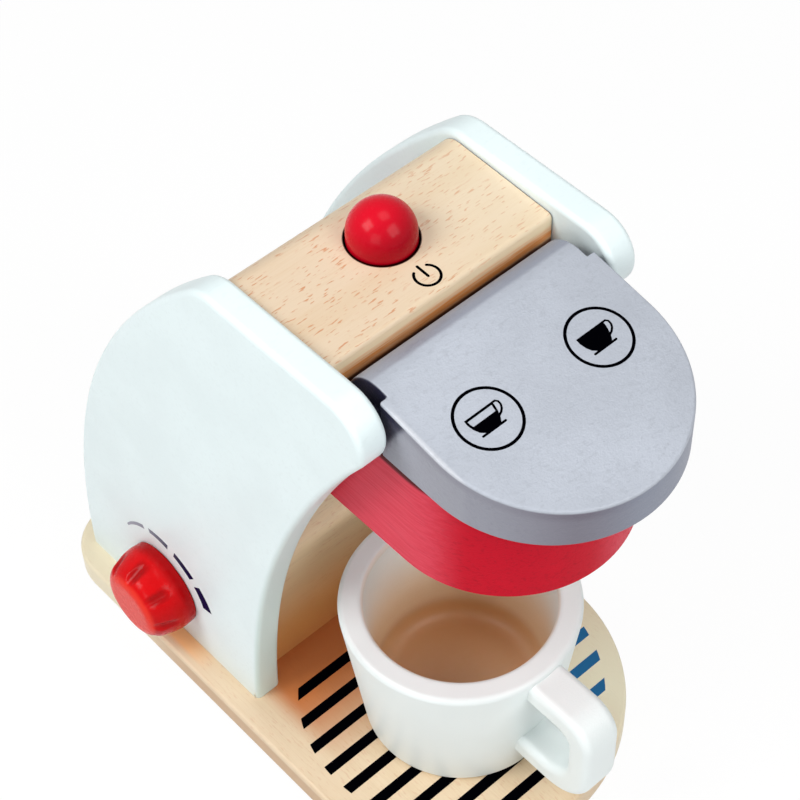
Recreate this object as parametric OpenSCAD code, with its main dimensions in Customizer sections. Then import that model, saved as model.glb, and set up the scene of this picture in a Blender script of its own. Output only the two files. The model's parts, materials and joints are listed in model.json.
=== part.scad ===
// Toy coffee maker for a play kitchen, built from painted and plain wood.
// Two crescent side panels stand on a round-nosed base board and carry a brew
// head, a top block with a sprung push button, and a wedge lid on a hinge rod.
// A loose wooden cup stands under the brew head, and a fluted knob turns on
// the outside of the left panel.
// Axes: X across (the knob is on the -X side), Y from front (-) to back (+),
// Z up. The origin is the middle of the base board's underside. Millimetres.

/* [Base board] */
// Width of the base board
base_w = 107; // [100:1:125]
// Length of the base board from front to back
base_len = 182; // [178:1:200]
// Thickness of the base board
base_th = 9; // [8:0.5:14]
// Radius of the two back corners of the base board
base_corner_r = 18; // [6:1:28]

/* [Side panels] */
// Clear width between the two side panels
bay_w = 74; // [71:0.5:78]
// Thickness of each side panel
panel_th = 9; // [8:0.5:11]
// Height of the panels' flat top above the table
panel_top = 189.3; // [182:0.5:196]
// Distance of the nose's centre in front of the origin
nose_y = 46.5; // [44:0.5:49]
// Radius of the nose at the top of the front edge
nose_r = 11; // [9:0.5:13]
// Radius of the hollow front edge
front_arc_r = 316; // [290:2:360]
// Depth of the hollow front edge's centre below the table
front_arc_drop = 6; // [0:1:14]
// Radius of the bowed back edge
back_arc_r = 243; // [236:1:260]
// Distance behind the origin at which the back edge meets the base board
back_foot = 82.3; // [78:0.5:84]
// Radius of the corner between the flat top and the back edge
back_corner_r = 13; // [8:1:18]

/* [Top block] */
// Distance of the block's front face in front of the origin
block_front = 36.4; // [35:0.2:38]
// Distance of the block's back face behind the origin
block_back = 4; // [2:0.5:8]
// Height of the block at its back
block_th = 21.5; // [20:0.5:24]
// Step from the panels' top down to the block's back edge
block_drop = 1.8; // [0.5:0.1:4]
// Fall of the block's top towards the front, in degrees
block_slope = 2.5; // [0:0.5:5]
// Rounding of the block's front top edge
block_front_r = 1.5; // [1:0.5:4]
// Rounding of the block's back top edge
block_back_r = 6.5; // [2:0.5:8]

/* [Push button] */
// Distance of the button's axis in front of the origin
button_y = 14; // [13:0.5:18]
// Radius of the button's domed stem
button_r = 9.1; // [7:0.1:9.5]
// Height of the dome's centre above the block
dome_rise = 2.3; // [1:0.1:5]
// Travel of the button
button_travel = 5; // [3:0.5:6]
// Radius of the flange that keeps the button in the block
flange_r = 11.5; // [11:0.5:12.5]
// Thickness of that flange
flange_th = 3; // [2:0.5:4]
// Radius of the spigot that centres the spring
spigot_r = 4; // [3:0.1:4.3]
// Length of that spigot
spigot_len = 5; // [3:0.5:7]
// Outer radius of the button's coil spring
spring_r = 6; // [5.8:0.1:7]
// Radius of the spring wire
spring_wire_r = 0.6; // [0.4:0.05:0.7]
// Number of turns of the spring
spring_turns = 7; // [5:1:8]
// Depth of the spring pocket in the brew head
pocket_depth = 18; // [14:1:24]

/* [Brew head] */
// Height of the brew head
head_th = 37; // [34:0.5:40]
// Distance of the brew head's rounded front in front of the origin
head_reach = 93.5; // [90:0.5:98]
// Gap between the brew head's flanks and the panels
head_side_gap = 2.5; // [1.5:0.1:3.5]
// Distance in front of the origin at which the head widens to meet the panels
shoulder_y = 26; // [25:0.5:29]
// Radius of the pod well
well_r = 19; // [15:0.5:21]
// Depth of the pod well
well_depth = 28; // [20:1:32]
// Distance of the pod well's axis in front of the origin
well_y = 60; // [58:0.5:64]
// Radius of the outlet below the well
outlet_r = 6; // [4:0.5:9]

/* [Lid] */
// Distance of the lid's rounded front in front of the origin
lid_reach = 107; // [102:0.5:112]
// Gap between the lid's flanks and the panels
lid_side_gap = 1.7; // [1:0.1:3]
// Gap between the lid's tongue and each panel
tongue_side_gap = 4; // [3:0.1:6]
// Distance of the lid's shoulders in front of the hinge
tongue_len = 3.8; // [2:0.1:8]
// Radius of the round back of the lid, about the hinge
barrel_r = 10; // [8:0.5:12]
// Gap between the lid's round back and the block
barrel_gap = 2.1; // [1:0.1:3]
// Fall of the lid's top towards the front, in degrees
lid_slope = 10.6; // [7:0.2:12]
// Gap under the closed lid
lid_gap = 0.5; // [0.3:0.1:1]
// Radius of the hinge rod
rod_r = 3; // [2:0.25:4]
// Depth of the hinge rod's seat in each panel
rod_seat = 6; // [4:0.5:7]

/* [Rear block] */
// Distance of the rear block's front face behind the origin
rear_front = 6; // [2:0.5:12]
// Distance of the rear block's back face behind the origin
rear_back = 68; // [62:0.5:72]
// Height of the rear block
rear_h = 49; // [40:0.5:60]
// Rounding of the rear block's top edges
rear_edge_r = 5; // [2:0.5:8]

/* [Knob] */
// Distance of the knob's axis behind the origin
knob_y = 40; // [34:0.5:46]
// Height of the knob's axis above the base board
knob_rise = 20.6; // [17:0.2:26]
// Largest radius of the knob
knob_r = 14.7; // [13.5:0.1:15.5]
// Radius of the knob where its outer end starts to round over
knob_end_r = 11.8; // [11:0.1:13]
// Length of the knob
knob_len = 14.2; // [13.4:0.1:17]
// Height of the smooth ring at the knob's foot
knob_ring = 5; // [3:0.1:6]
// Draw-in of the ring at the panel
knob_draw = 0.4; // [0.2:0.1:1]
// Rounding of the knob's outer end
knob_round = 5.5; // [3:0.1:6]
// Number of flutes round the knob
flutes = 8; // [6:1:10]
// Radius of each flute
flute_r = 2.4; // [2:0.1:3.6]
// Depth of each flute at the knob's outer end
flute_depth = 1.6; // [1:0.1:1.9]
// Radius of the knob's axle
axle_r = 4; // [3:0.25:5]
// Depth of the axle's seat in the knob
axle_seat = 9; // [6:0.5:10]
// Radius of the collar on the axle's inner end
collar_r = 9; // [7:0.5:11]
// Thickness of that collar
collar_th = 6; // [4:0.5:8]
// Radius of the felt washer under the knob
washer_r = 9; // [7:0.5:10]
// Thickness of that washer
washer_th = 1.5; // [1:0.1:2]

/* [Cup] */
// Distance of the cup's axis in front of the origin
cup_y = 42; // [40:0.5:44]
// Height of the cup
cup_h = 52.4; // [48:0.2:58]
// Outer radius of the cup at its rim
cup_rim_r = 35.4; // [33:0.1:36]
// Outer radius of the cup at its foot
cup_foot_r = 29; // [26:0.2:32]
// Thickness of the cup's wall at the rim
cup_wall = 7.4; // [5:0.2:8]
// Inner radius of the cup at its floor
cup_floor_r = 25; // [20:0.2:25.4]
// Thickness of the cup's floor
cup_floor = 8.7; // [5:0.1:12]
// Rounding of the cup's edges
cup_edge_r = 1.8; // [1:0.1:2.4]
// Thickness of the handle
handle_th = 13; // [10:0.5:16]
// Reach of the handle from the cup's axis
handle_reach = 58; // [54:0.5:62]
// Step from the rim down to the handle's top
handle_drop = 1.6; // [0.5:0.1:4]
// Height of the handle
handle_h = 40; // [36:0.5:44]
// Width of the wood round the handle's finger hole
handle_band = 8.5; // [7:0.5:10]
// Radius of the pegs that hold the handle
peg_r = 2.5; // [2:0.25:3]
// Length of the pegs that hold the handle
peg_len = 9; // [7:0.5:10]

/* [Dowels and screws] */
// Radius of the blind dowels
dowel_r = 3; // [2:0.25:4]
// Length of the blind dowels
dowel_len = 22; // [18:0.5:24]
// Depth of the dowels' seats in the panels
dowel_seat = 6; // [4:0.5:7]
// Radius of the screw shanks
screw_r = 2; // [1.5:0.25:2.5]
// Radius of the countersunk screw heads
screw_head_r = 4; // [3:0.25:4.4]
// Length of the screws
screw_len = 30; // [24:1:36]
// Depth of the screw heads below the underside
screw_sink = 0.8; // [0.4:0.1:1.5]

/* [Clearances] */
// Clearance of a glued joint, on the radius
glue_gap = 0.05; // [0.02:0.01:0.1]
// Clearance of a turning pin, on the radius
running_gap = 0.1; // [0.05:0.01:0.1]
// Clearance between pieces that move past each other
slide_gap = 0.6; // [0.4:0.05:0.8]
// Clearance between a resting piece and its stop or seat
seat_gap = 0.3; // [0.3:0.05:0.5]

/* [Hidden] */
$fn = 96;
eps = 1; // overshoot of a cutting tool past the face that it opens
long_steps = 36; // pieces of a panel's long arcs
short_steps = 14; // pieces of a panel's short arcs

// Heights, from the panels' top down and from the base board up
block_top = panel_top - block_drop;
head_top = block_top - block_th;
head_bottom = head_top - head_th;
lid_bottom = head_top + lid_gap;
rear_top = base_th + rear_h;
knob_z = base_th + knob_rise;
cup_z = base_th + seat_gap;
rim_z = cup_z + cup_h;

// Side panel: centres of the arcs that make its outline, in Y and Z
nose_c = [-nose_y, panel_top - nose_r];
front_c = [
    -nose_y - sqrt(pow(front_arc_r + nose_r, 2) - pow(nose_c[1] + front_arc_drop, 2)),
    -front_arc_drop
];
back_c = [back_foot - back_arc_r, base_th];
corner_z = panel_top - back_corner_r;
corner_c = [
    back_c[0] + sqrt(pow(back_arc_r - back_corner_r, 2) - pow(corner_z - base_th, 2)),
    corner_z
];
panel_x = bay_w / 2 + panel_th / 2;

// Lid and hinge
hinge_y = -(block_front + barrel_gap + barrel_r);
hinge_z = lid_bottom + barrel_r;
lid_r = bay_w / 2 - lid_side_gap;
tongue_w = bay_w - 2 * tongue_side_gap;
head_r = bay_w / 2 - head_side_gap;
rod_len = bay_w + 2 * rod_seat;

// Push button: its axis meets the sloping block at this height
button_top = block_top - (block_back + button_y) * tan(block_slope);
dome_z = button_top + dome_rise;
flange_z = head_top + seat_gap + button_travel;
bore_z = flange_z + flange_th + seat_gap;
pocket_z = head_top - pocket_depth;
spring_len = flange_z - pocket_z - seat_gap;

// Knob: its outer end, and the axle that runs through the panel
knob_x = -(bay_w / 2 + panel_th);
axle_end = bay_w / 2 - collar_th;
axle_len = panel_th + collar_th + axle_seat;

// Distance of the cup's outer wall from its axis at a height above its foot
function cup_wall_r(h) = cup_foot_r + (cup_rim_r - cup_foot_r) * h / cup_h;

// Points of an outline whose corners are given as [x, y, radius]. A corner of
// radius 0 stays sharp, and any other becomes an arc that touches both edges.
function rounded(corners, steps = 8) = [
    for (i = [0 : len(corners) - 1])
        let (
            n = len(corners),
            here = corners[i],
            before = corners[(i + n - 1) % n],
            after = corners[(i + 1) % n]
        )
        each (here[2] == 0 ? [[here[0], here[1]]] : corner_arc(before, here, after, steps))
];

function flat(p) = [p[0], p[1]];
function unit(v) = v / norm(v);
function bearing(from, to) = atan2(to[1] - from[1], to[0] - from[0]);

// Points of an arc about a centre, from one bearing to another
function arc(centre, r, from, to, steps) = [
    for (k = [0 : steps])
        let (a = from + (to - from) * k / steps)
        centre + r * [cos(a), sin(a)]
];

function corner_arc(before, here, after, steps) =
    let (
        u = unit(flat(before) - flat(here)),
        v = unit(flat(after) - flat(here)),
        half = acos(u * v) / 2,
        centre = flat(here) + unit(u + v) * here[2] / sin(half),
        start = bearing(centre, flat(here) + u * here[2] / tan(half)),
        side = sign(u[1] * v[0] - u[0] * v[1])
    )
    arc(centre, here[2], start, start + side * (180 - 2 * half), steps);

// Stand a Y-Z outline up and give it a width across X
module across(width, x = 0) {
    translate([x - width / 2, 0, 0])
        rotate([90, 0, 90])
            linear_extrude(width)
                children();
}

// A pin across X, from x over a length
module cross_pin(r, length, x, y, z) {
    translate([x, y, z])
        rotate([0, 90, 0])
            cylinder(r = r, h = length);
}

// A plan with straight flanks and a half-round front, from a back edge at y
module round_nosed(r, reach, back) {
    translate([0, r - reach])
        circle(r);
    translate([-r, r - reach])
        square([2 * r, back + reach - r]);
}

// ---- Frame ----

module base_plan() {
    r = base_w / 2;
    back = base_len / 2;
    round_nosed(r, back, back - base_corner_r);
    translate([-r + base_corner_r, 0])
        square([base_w - 2 * base_corner_r, back]);
    for (side = [-1, 1])
        translate([side * (r - base_corner_r), back - base_corner_r])
            circle(base_corner_r);
}

// Outline of a side panel, in Y and Z: a hollow front edge, a round nose, a
// flat top, a corner and a bowed back edge, each running smoothly into the next
module panel_outline() {
    foot_turn = asin((base_th - front_c[1]) / front_arc_r);
    nose_turn = bearing(front_c, nose_c);
    corner_turn = bearing(back_c, corner_c);
    polygon(concat(
        arc(front_c, front_arc_r, foot_turn, nose_turn, long_steps),
        arc(nose_c, nose_r, nose_turn + 180, 90, short_steps),
        arc(corner_c, back_corner_r, 90, corner_turn, short_steps),
        arc(back_c, back_arc_r, corner_turn, 0, long_steps)
    ));
}

// Places of the blind dowels, in Y and Z
block_dowel_at = [
    for (share = [0.2, 0.88])
        [-block_front + (block_front + block_back) * share, head_top + block_th / 2]
];
head_dowel_at = [
    for (share = [0.25, 0.8])
        [-shoulder_y + (shoulder_y + block_back) * share, head_bottom + head_th / 2]
];
rear_dowel_at = [
    for (share = [0.18, 0.84])
        [rear_front + (rear_back - rear_front) * share, base_th + rear_h * 0.7]
];

// Places of the screws under the base board, in X and Y
screw_at = [
    for (y = [rear_front + dowel_r + screw_head_r, rear_back - screw_head_r])
        for (x = [-panel_x, 0, panel_x])
            [x, y]
];

module dowels(places, gap = 0) {
    for (side = [-1, 1])
        for (at = places)
            cross_pin(
                dowel_r + gap,
                dowel_len + 2 * gap,
                side * (bay_w / 2 + dowel_seat - dowel_len / 2) - dowel_len / 2 - gap,
                at[0],
                at[1]
            );
}

module screws(gap = 0) {
    for (at = screw_at)
        translate([at[0], at[1], screw_sink]) {
            cylinder(r = screw_r + gap, h = screw_len + gap);
            translate([0, 0, -gap])
                cylinder(r1 = screw_head_r + gap, r2 = screw_r + gap, h = screw_head_r - screw_r);
        }
}

// Pilot holes and countersinks, open at the underside
module screw_holes() {
    screws(glue_gap);
    for (at = screw_at)
        translate([at[0], at[1], -eps])
            cylinder(r = screw_head_r + glue_gap, h = screw_sink + eps);
}

module base_board() {
    color("burlywood")
        difference() {
            linear_extrude(base_th)
                base_plan();
            screw_holes();
        }
}

module side_panel(side) {
    difference() {
        across(panel_th, side * panel_x)
            panel_outline();
        cross_pin(rod_r + glue_gap, rod_len + 2 * glue_gap, -rod_len / 2 - glue_gap, hinge_y, hinge_z);
        dowels(block_dowel_at, glue_gap);
        dowels(head_dowel_at, glue_gap);
        dowels(rear_dowel_at, glue_gap);
        screws(glue_gap);
    }
}

// The left panel also carries the knob: a bore for its axle and a shallow
// recess for its felt washer
module side_panel_left() {
    color("ghostwhite")
        difference() {
            side_panel(-1);
            cross_pin(axle_r + running_gap, panel_th + 2 * eps, knob_x - eps, knob_y, knob_z);
            cross_pin(washer_r + glue_gap, washer_th + eps, knob_x - eps, knob_y, knob_z);
        }
}

module side_panel_right() {
    color("ghostwhite")
        side_panel(1);
}

module top_block() {
    length = block_front + block_back;
    color("wheat")
        difference() {
            across(bay_w)
                polygon(rounded([
                    [-block_front, head_top, 0],
                    [block_back, head_top, 0],
                    [block_back, block_top, block_back_r],
                    [-block_front, block_top - length * tan(block_slope), block_front_r]
                ]));
            translate([0, -button_y, head_top - eps]) {
                cylinder(r = button_r + slide_gap, h = block_th + 2 * eps);
                cylinder(r = flange_r + slide_gap, h = bore_z - head_top + eps);
            }
            dowels(block_dowel_at, glue_gap);
        }
}

module rear_block() {
    color("peru")
        difference() {
            across(bay_w)
                polygon(rounded([
                    [rear_front, base_th, 0],
                    [rear_back, base_th, 0],
                    [rear_back, rear_top, rear_edge_r],
                    [rear_front, rear_top, rear_edge_r]
                ]));
            cross_pin(
                collar_r + slide_gap,
                collar_th + seat_gap + slide_gap + eps,
                -bay_w / 2 - eps,
                knob_y,
                knob_z
            );
            dowels(rear_dowel_at, glue_gap);
            screws(glue_gap);
        }
}

// ---- Brew head and lid ----

// Plan of the brew head: a half-round front, and shoulders that reach the
// panels where the panels' front edges cover them
module head_plan() {
    round_nosed(head_r, head_reach, block_back);
    translate([-bay_w / 2, -shoulder_y])
        square([bay_w, shoulder_y + block_back]);
}

module brew_head() {
    color("firebrick")
        difference() {
            translate([0, 0, head_bottom])
                linear_extrude(head_th)
                    head_plan();
            translate([0, -well_y, head_top - well_depth])
                cylinder(r = well_r, h = well_depth + eps);
            translate([0, -well_y, head_bottom - eps])
                cylinder(r = outlet_r, h = head_th);
            translate([0, -button_y, pocket_z])
                cylinder(r = spring_r + slide_gap, h = pocket_depth + eps);
            dowels(head_dowel_at, glue_gap);
        }
}

// Plan of the lid: a half-round front, and a narrower tongue at the hinge
module lid_plan() {
    round_nosed(lid_r, lid_reach, hinge_y - tongue_len);
    translate([-tongue_w / 2, hinge_y - tongue_len - eps])
        square([tongue_w, tongue_len + barrel_r + 2 * eps]);
}

// Side of the lid: a wedge whose sloping top runs smoothly into the round back
module lid_side() {
    axis = [hinge_y, hinge_z];
    crest = axis + barrel_r * [sin(-lid_slope), cos(lid_slope)];
    fall = (crest[0] + lid_reach + eps) * tan(lid_slope);
    translate(axis)
        circle(barrel_r);
    polygon([
        [hinge_y, lid_bottom],
        axis,
        crest,
        [-lid_reach - eps, crest[1] - fall],
        [-lid_reach - eps, lid_bottom]
    ]);
}

module lid() {
    color("lightsteelblue")
        difference() {
            intersection() {
                across(2 * lid_r + eps)
                    lid_side();
                translate([0, 0, lid_bottom - eps])
                    linear_extrude(4 * barrel_r)
                        lid_plan();
            }
            cross_pin(rod_r + running_gap, bay_w, -bay_w / 2, hinge_y, hinge_z);
        }
}

module hinge_rod() {
    color("tan")
        cross_pin(rod_r, rod_len, -rod_len / 2, hinge_y, hinge_z);
}

// ---- Push button ----

module button() {
    color("crimson")
        translate([0, -button_y, 0]) {
            translate([0, 0, dome_z])
                sphere(button_r);
            translate([0, 0, flange_z])
                cylinder(r = button_r, h = dome_z - flange_z);
            translate([0, 0, flange_z])
                cylinder(r = flange_r, h = flange_th);
            translate([0, 0, flange_z - spigot_len])
                cylinder(r = spigot_r, h = spigot_len + eps);
        }
}

// Coil spring swept as rings of points round a helix, with flat-lying ends
module button_spring() {
    sides = 6;
    per_turn = 12;
    rings = spring_turns * per_turn;
    coil_r = spring_r - spring_wire_r;
    rise = spring_len - 2 * spring_wire_r;
    points = [
        for (k = [0 : rings])
            let (
                turn = 360 * k / per_turn,
                z = pocket_z + spring_wire_r + rise * k / rings
            )
            for (s = [0 : sides - 1])
                let (a = 360 * s / sides, r = coil_r + spring_wire_r * cos(a))
                [r * cos(turn), r * sin(turn) - button_y, z + spring_wire_r * sin(a)]
    ];
    walls = [
        for (k = [0 : rings - 1])
            for (s = [0 : sides - 1])
                let (a = k * sides + s, b = k * sides + (s + 1) % sides)
                [a, a + sides, b + sides, b]
    ];
    first = [for (s = [0 : sides - 1]) s];
    last = [for (s = [sides - 1 : -1 : 0]) rings * sides + s];
    color("silver")
        polyhedron(points, concat([first], walls, [last]), convexity = 12);
}

// ---- Knob ----

// Outline of the knob, as radius and height above the panel: a smooth ring at
// the foot, a taper, and a well-rounded outer end
module knob_outline() {
    polygon(rounded([
        [0, 0, 0],
        [knob_r - knob_draw, 0, 0],
        [knob_r, knob_ring, knob_r],
        [knob_end_r, knob_len, knob_round],
        [0, knob_len, 0]
    ]));
}

module knob() {
    lean = atan((knob_r - knob_end_r + flute_depth) / (knob_len - knob_ring));
    color("red")
        translate([knob_x - seat_gap, knob_y, knob_z])
            rotate([0, -90, 0])
                difference() {
                    rotate_extrude()
                        knob_outline();
                    for (k = [0 : flutes - 1])
                        rotate([0, 0, k * 360 / flutes])
                            translate([knob_r + flute_r, 0, knob_ring])
                                rotate([0, -lean, 0])
                                    cylinder(r = flute_r, h = 2 * knob_len);
                    translate([0, 0, -eps])
                        cylinder(r = axle_r + glue_gap, h = axle_seat - seat_gap + eps + glue_gap);
                }
}

module knob_axle() {
    color("tan")
        cross_pin(axle_r, axle_len, knob_x - axle_seat, knob_y, knob_z);
}

// The collar holds the axle in the panel and turns in a pocket in the block
module knob_collar() {
    start = -bay_w / 2 + seat_gap;
    color("tan")
        difference() {
            cross_pin(collar_r, collar_th, start, knob_y, knob_z);
            cross_pin(axle_r + glue_gap, collar_th + 2 * eps, start - eps, knob_y, knob_z);
        }
}

module knob_washer() {
    color("dimgray")
        difference() {
            cross_pin(washer_r, washer_th - glue_gap, knob_x, knob_y, knob_z);
            cross_pin(axle_r + slide_gap, washer_th + 2 * eps, knob_x - eps, knob_y, knob_z);
        }
}

// ---- Cup ----

module cup_body() {
    color("white")
        difference() {
            translate([0, -cup_y, cup_z])
                rotate_extrude()
                    polygon(rounded([
                        [0, 0, 0],
                        [cup_foot_r, 0, cup_edge_r],
                        [cup_rim_r, cup_h, cup_edge_r],
                        [cup_rim_r - cup_wall, cup_h, cup_edge_r],
                        [cup_floor_r, cup_floor, cup_edge_r],
                        [0, cup_floor, 0]
                    ]));
            pegs(glue_gap);
        }
}

// Outline of the handle, as distance from the cup's axis and height: a loop
// whose open side is closed by the cup's wall
module handle_outline() {
    top = cup_h - handle_drop;
    bottom = top - handle_h;
    root = cup_foot_r / 2;
    inner = handle_reach - handle_band;
    difference() {
        polygon(rounded([
            [root, bottom, 0],
            [handle_reach, bottom, 1.8 * handle_band],
            [handle_reach, top, 1.2 * handle_band],
            [root, top, 0]
        ]));
        polygon(rounded([
            [root - eps, bottom + handle_band, 0],
            [inner, bottom + handle_band, handle_band],
            [inner, top - handle_band, handle_band / 2],
            [root - eps, top - handle_band, 0]
        ]));
    }
}

// Pegs from the cup's wall into the two feet of the handle
module pegs(gap = 0) {
    top = cup_h - handle_drop - handle_band / 2;
    bottom = cup_h - handle_drop - handle_h + handle_band / 2;
    for (h = [bottom, top])
        translate([0, -cup_y - cup_wall_r(h) + peg_len / 2 - eps + gap, cup_z + h])
            rotate([90, 0, 0])
                cylinder(r = peg_r + gap, h = peg_len + 2 * gap);
}

module cup_handle() {
    color("white")
        difference() {
            translate([handle_th / 2, -cup_y, cup_z])
                rotate([90, 0, -90])
                    linear_extrude(handle_th)
                        handle_outline();
            translate([0, -cup_y, cup_z])
                cylinder(r1 = cup_foot_r + glue_gap, r2 = cup_rim_r + glue_gap, h = cup_h);
            pegs(glue_gap);
        }
}

module handle_pegs() {
    color("tan")
        pegs();
}

// ---- Dowels and screws ----

module block_dowels() {
    color("tan")
        dowels(block_dowel_at);
}

module head_dowels() {
    color("tan")
        dowels(head_dowel_at);
}

module rear_dowels() {
    color("tan")
        dowels(rear_dowel_at);
}

module base_screws() {
    color("gray")
        screws();
}

base_board();
side_panel_left();
side_panel_right();
top_block();
rear_block();
brew_head();
lid();
hinge_rod();
button();
button_spring();
knob();
knob_axle();
knob_collar();
knob_washer();
cup_body();
cup_handle();
handle_pegs();
block_dowels();
head_dowels();
rear_dowels();
base_screws();
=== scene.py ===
import json
import math

import bmesh
import bpy
from bpy.props import FloatProperty, FloatVectorProperty, IntProperty, PointerProperty
from bpy.types import Operator, Panel, PropertyGroup
from mathutils import Matrix, Vector


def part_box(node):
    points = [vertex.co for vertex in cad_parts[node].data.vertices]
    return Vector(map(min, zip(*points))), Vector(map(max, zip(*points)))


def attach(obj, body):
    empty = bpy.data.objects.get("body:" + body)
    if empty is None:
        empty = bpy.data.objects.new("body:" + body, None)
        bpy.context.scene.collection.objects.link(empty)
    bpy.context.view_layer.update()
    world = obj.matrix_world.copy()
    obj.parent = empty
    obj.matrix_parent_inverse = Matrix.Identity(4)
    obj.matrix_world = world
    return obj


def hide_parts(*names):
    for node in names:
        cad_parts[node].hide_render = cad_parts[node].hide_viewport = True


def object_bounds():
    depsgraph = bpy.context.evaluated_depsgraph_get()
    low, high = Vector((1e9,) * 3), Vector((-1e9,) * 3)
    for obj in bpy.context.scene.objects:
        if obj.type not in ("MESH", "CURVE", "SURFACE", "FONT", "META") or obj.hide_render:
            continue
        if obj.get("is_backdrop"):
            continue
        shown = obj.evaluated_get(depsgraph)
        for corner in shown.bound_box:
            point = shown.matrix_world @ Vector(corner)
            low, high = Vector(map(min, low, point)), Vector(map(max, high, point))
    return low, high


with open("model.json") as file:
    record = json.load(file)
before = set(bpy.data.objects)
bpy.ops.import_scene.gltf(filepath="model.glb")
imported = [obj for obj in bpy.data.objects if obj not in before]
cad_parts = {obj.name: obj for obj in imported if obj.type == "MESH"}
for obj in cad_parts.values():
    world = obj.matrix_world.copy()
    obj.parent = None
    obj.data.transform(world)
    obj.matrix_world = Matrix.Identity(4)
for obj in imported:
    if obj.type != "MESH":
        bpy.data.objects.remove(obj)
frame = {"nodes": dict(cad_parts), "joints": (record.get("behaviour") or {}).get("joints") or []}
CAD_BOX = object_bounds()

# Dresses the wooden toy coffee maker: painted panels, plain beech blocks, a
# stained brew head, a painted wedge lid, lacquered button and knob, a painted
# cup, and the signs and stripes printed on them. Light and shade are also
# painted into several of the finishes.
# X runs across, Y from front to back and Z up. Sizes are in metres.

bl_info = {
    "name": "Toy coffee maker",
    "version": (1, 0, 0),
    "blender": (4, 5, 0),
    "location": "3D View > Sidebar > Coffee maker",
    "description": "Builds the pieces and finishes of a wooden toy coffee maker",
    "category": "Add Mesh",
}

MM = 0.001
NEAR = 1e-6  # below this, two points are one
BOX = {name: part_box(name) for name in frame["nodes"]}
JOINT = {joint["name"]: joint for joint in frame["joints"]}
HINGE = Vector(JOINT["lid_hinge"]["pos_m"])
KNOB_AXIS = Vector(JOINT["knob_turn"]["pos_m"])
SIDES = {"left": -1, "right": 1}
TOY_MIDDLE = Vector((0, -0.02, 0.08))


# ---- Sizes and colours ----

def length(label, millimetres, description):
    """A length that the user can set, given in millimetres."""
    return FloatProperty(
        name=label,
        description=description,
        default=millimetres * MM,
        min=0,
        unit="LENGTH",
        precision=5,
    )


def angle(label, degrees, description):
    """An angle that the user can set, given in degrees."""
    return FloatProperty(
        name=label,
        description=description,
        default=math.radians(degrees),
        subtype="ANGLE",
    )


def linear(level):
    """The linear value of a display level from 0 to 255."""
    share = level / 255
    return share / 12.92 if share <= 0.04045 else ((share + 0.055) / 1.055) ** 2.4


def colour(label, levels, description):
    """A colour that the user can set, given in display levels."""
    return FloatVectorProperty(
        name=label,
        description=description,
        default=[linear(level) for level in levels],
        min=0,
        max=1,
        size=3,
        subtype="COLOR",
    )


class BodySizes(PropertyGroup):
    """Shape of the base board, the panels and the blocks between them."""

    base_corner: length("Base corner", 18, "Radius of the base board's back corners")
    base_edge: length("Base edge", 1.2, "Rounding of the base board's edges")
    nose_y: length("Nose", 46.5, "Distance of the panels' nose in front of the origin")
    nose_r: length("Nose radius", 11, "Radius of the panels' nose")
    front_arc: length("Front arc", 316, "Radius of the panels' hollow front edge")
    front_drop: length("Front arc drop", 6, "Depth of the front arc's centre below the table")
    back_arc: length("Back arc", 243, "Radius of the panels' bowed back edge")
    back_foot: length("Back foot", 82.3, "Where the back edge meets the base board")
    back_corner: length("Back corner", 13, "Radius of the panels' back corner")
    panel_edge: length("Panel edge", 1.8, "Rounding of the panels' edges")
    block_slope: angle("Block slope", 2.5, "Fall of the top block towards the front")
    block_drop: length("Block drop", 1.8, "Step from the panels' top to the block's back")
    block_front_r: length("Block front", 1.5, "Rounding of the block's front top edge")
    block_back_r: length("Block back", 6.5, "Rounding of the block's back top edge")
    block_ease: length("Block ends", 0.5, "Easing of the blocks' ends at the panels")
    rear_edge: length("Rear block edge", 5, "Rounding of the rear block's top edges")
    shoulder: length("Head shoulder", 26, "Where the brew head widens to meet the panels")
    head_r: length("Head radius", 34.5, "Radius of the brew head's round front")
    head_edge: length("Head edge", 0.9, "Rounding of the brew head's edges")
    well_r: length("Pod well", 19, "Radius of the pod well")
    well_depth: length("Pod well depth", 28, "Depth of the pod well")
    well_y: length("Pod well place", 60, "Distance of the pod well in front of the origin")
    outlet_r: length("Outlet", 6, "Radius of the outlet below the well")
    lid_slope: angle("Lid slope", 10.6, "Fall of the lid's top towards the front")
    lid_foot: angle("Lid foot", 2.6, "Fall of the lid's underside and the head's top")
    lid_edge: length("Lid edge", 0.7, "Rounding of the lid's edges")
    barrel_r: length("Lid barrel", 10, "Radius of the lid's round back")
    tongue: length("Lid tongue", 3.8, "Distance of the lid's shoulders in front of the hinge")
    tongue_half: length("Tongue half width", 33, "Half the width of the lid at its hinge")
    rod_bore: length("Rod bore", 3.1, "Radius of the lid's bore for its rod")


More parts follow.
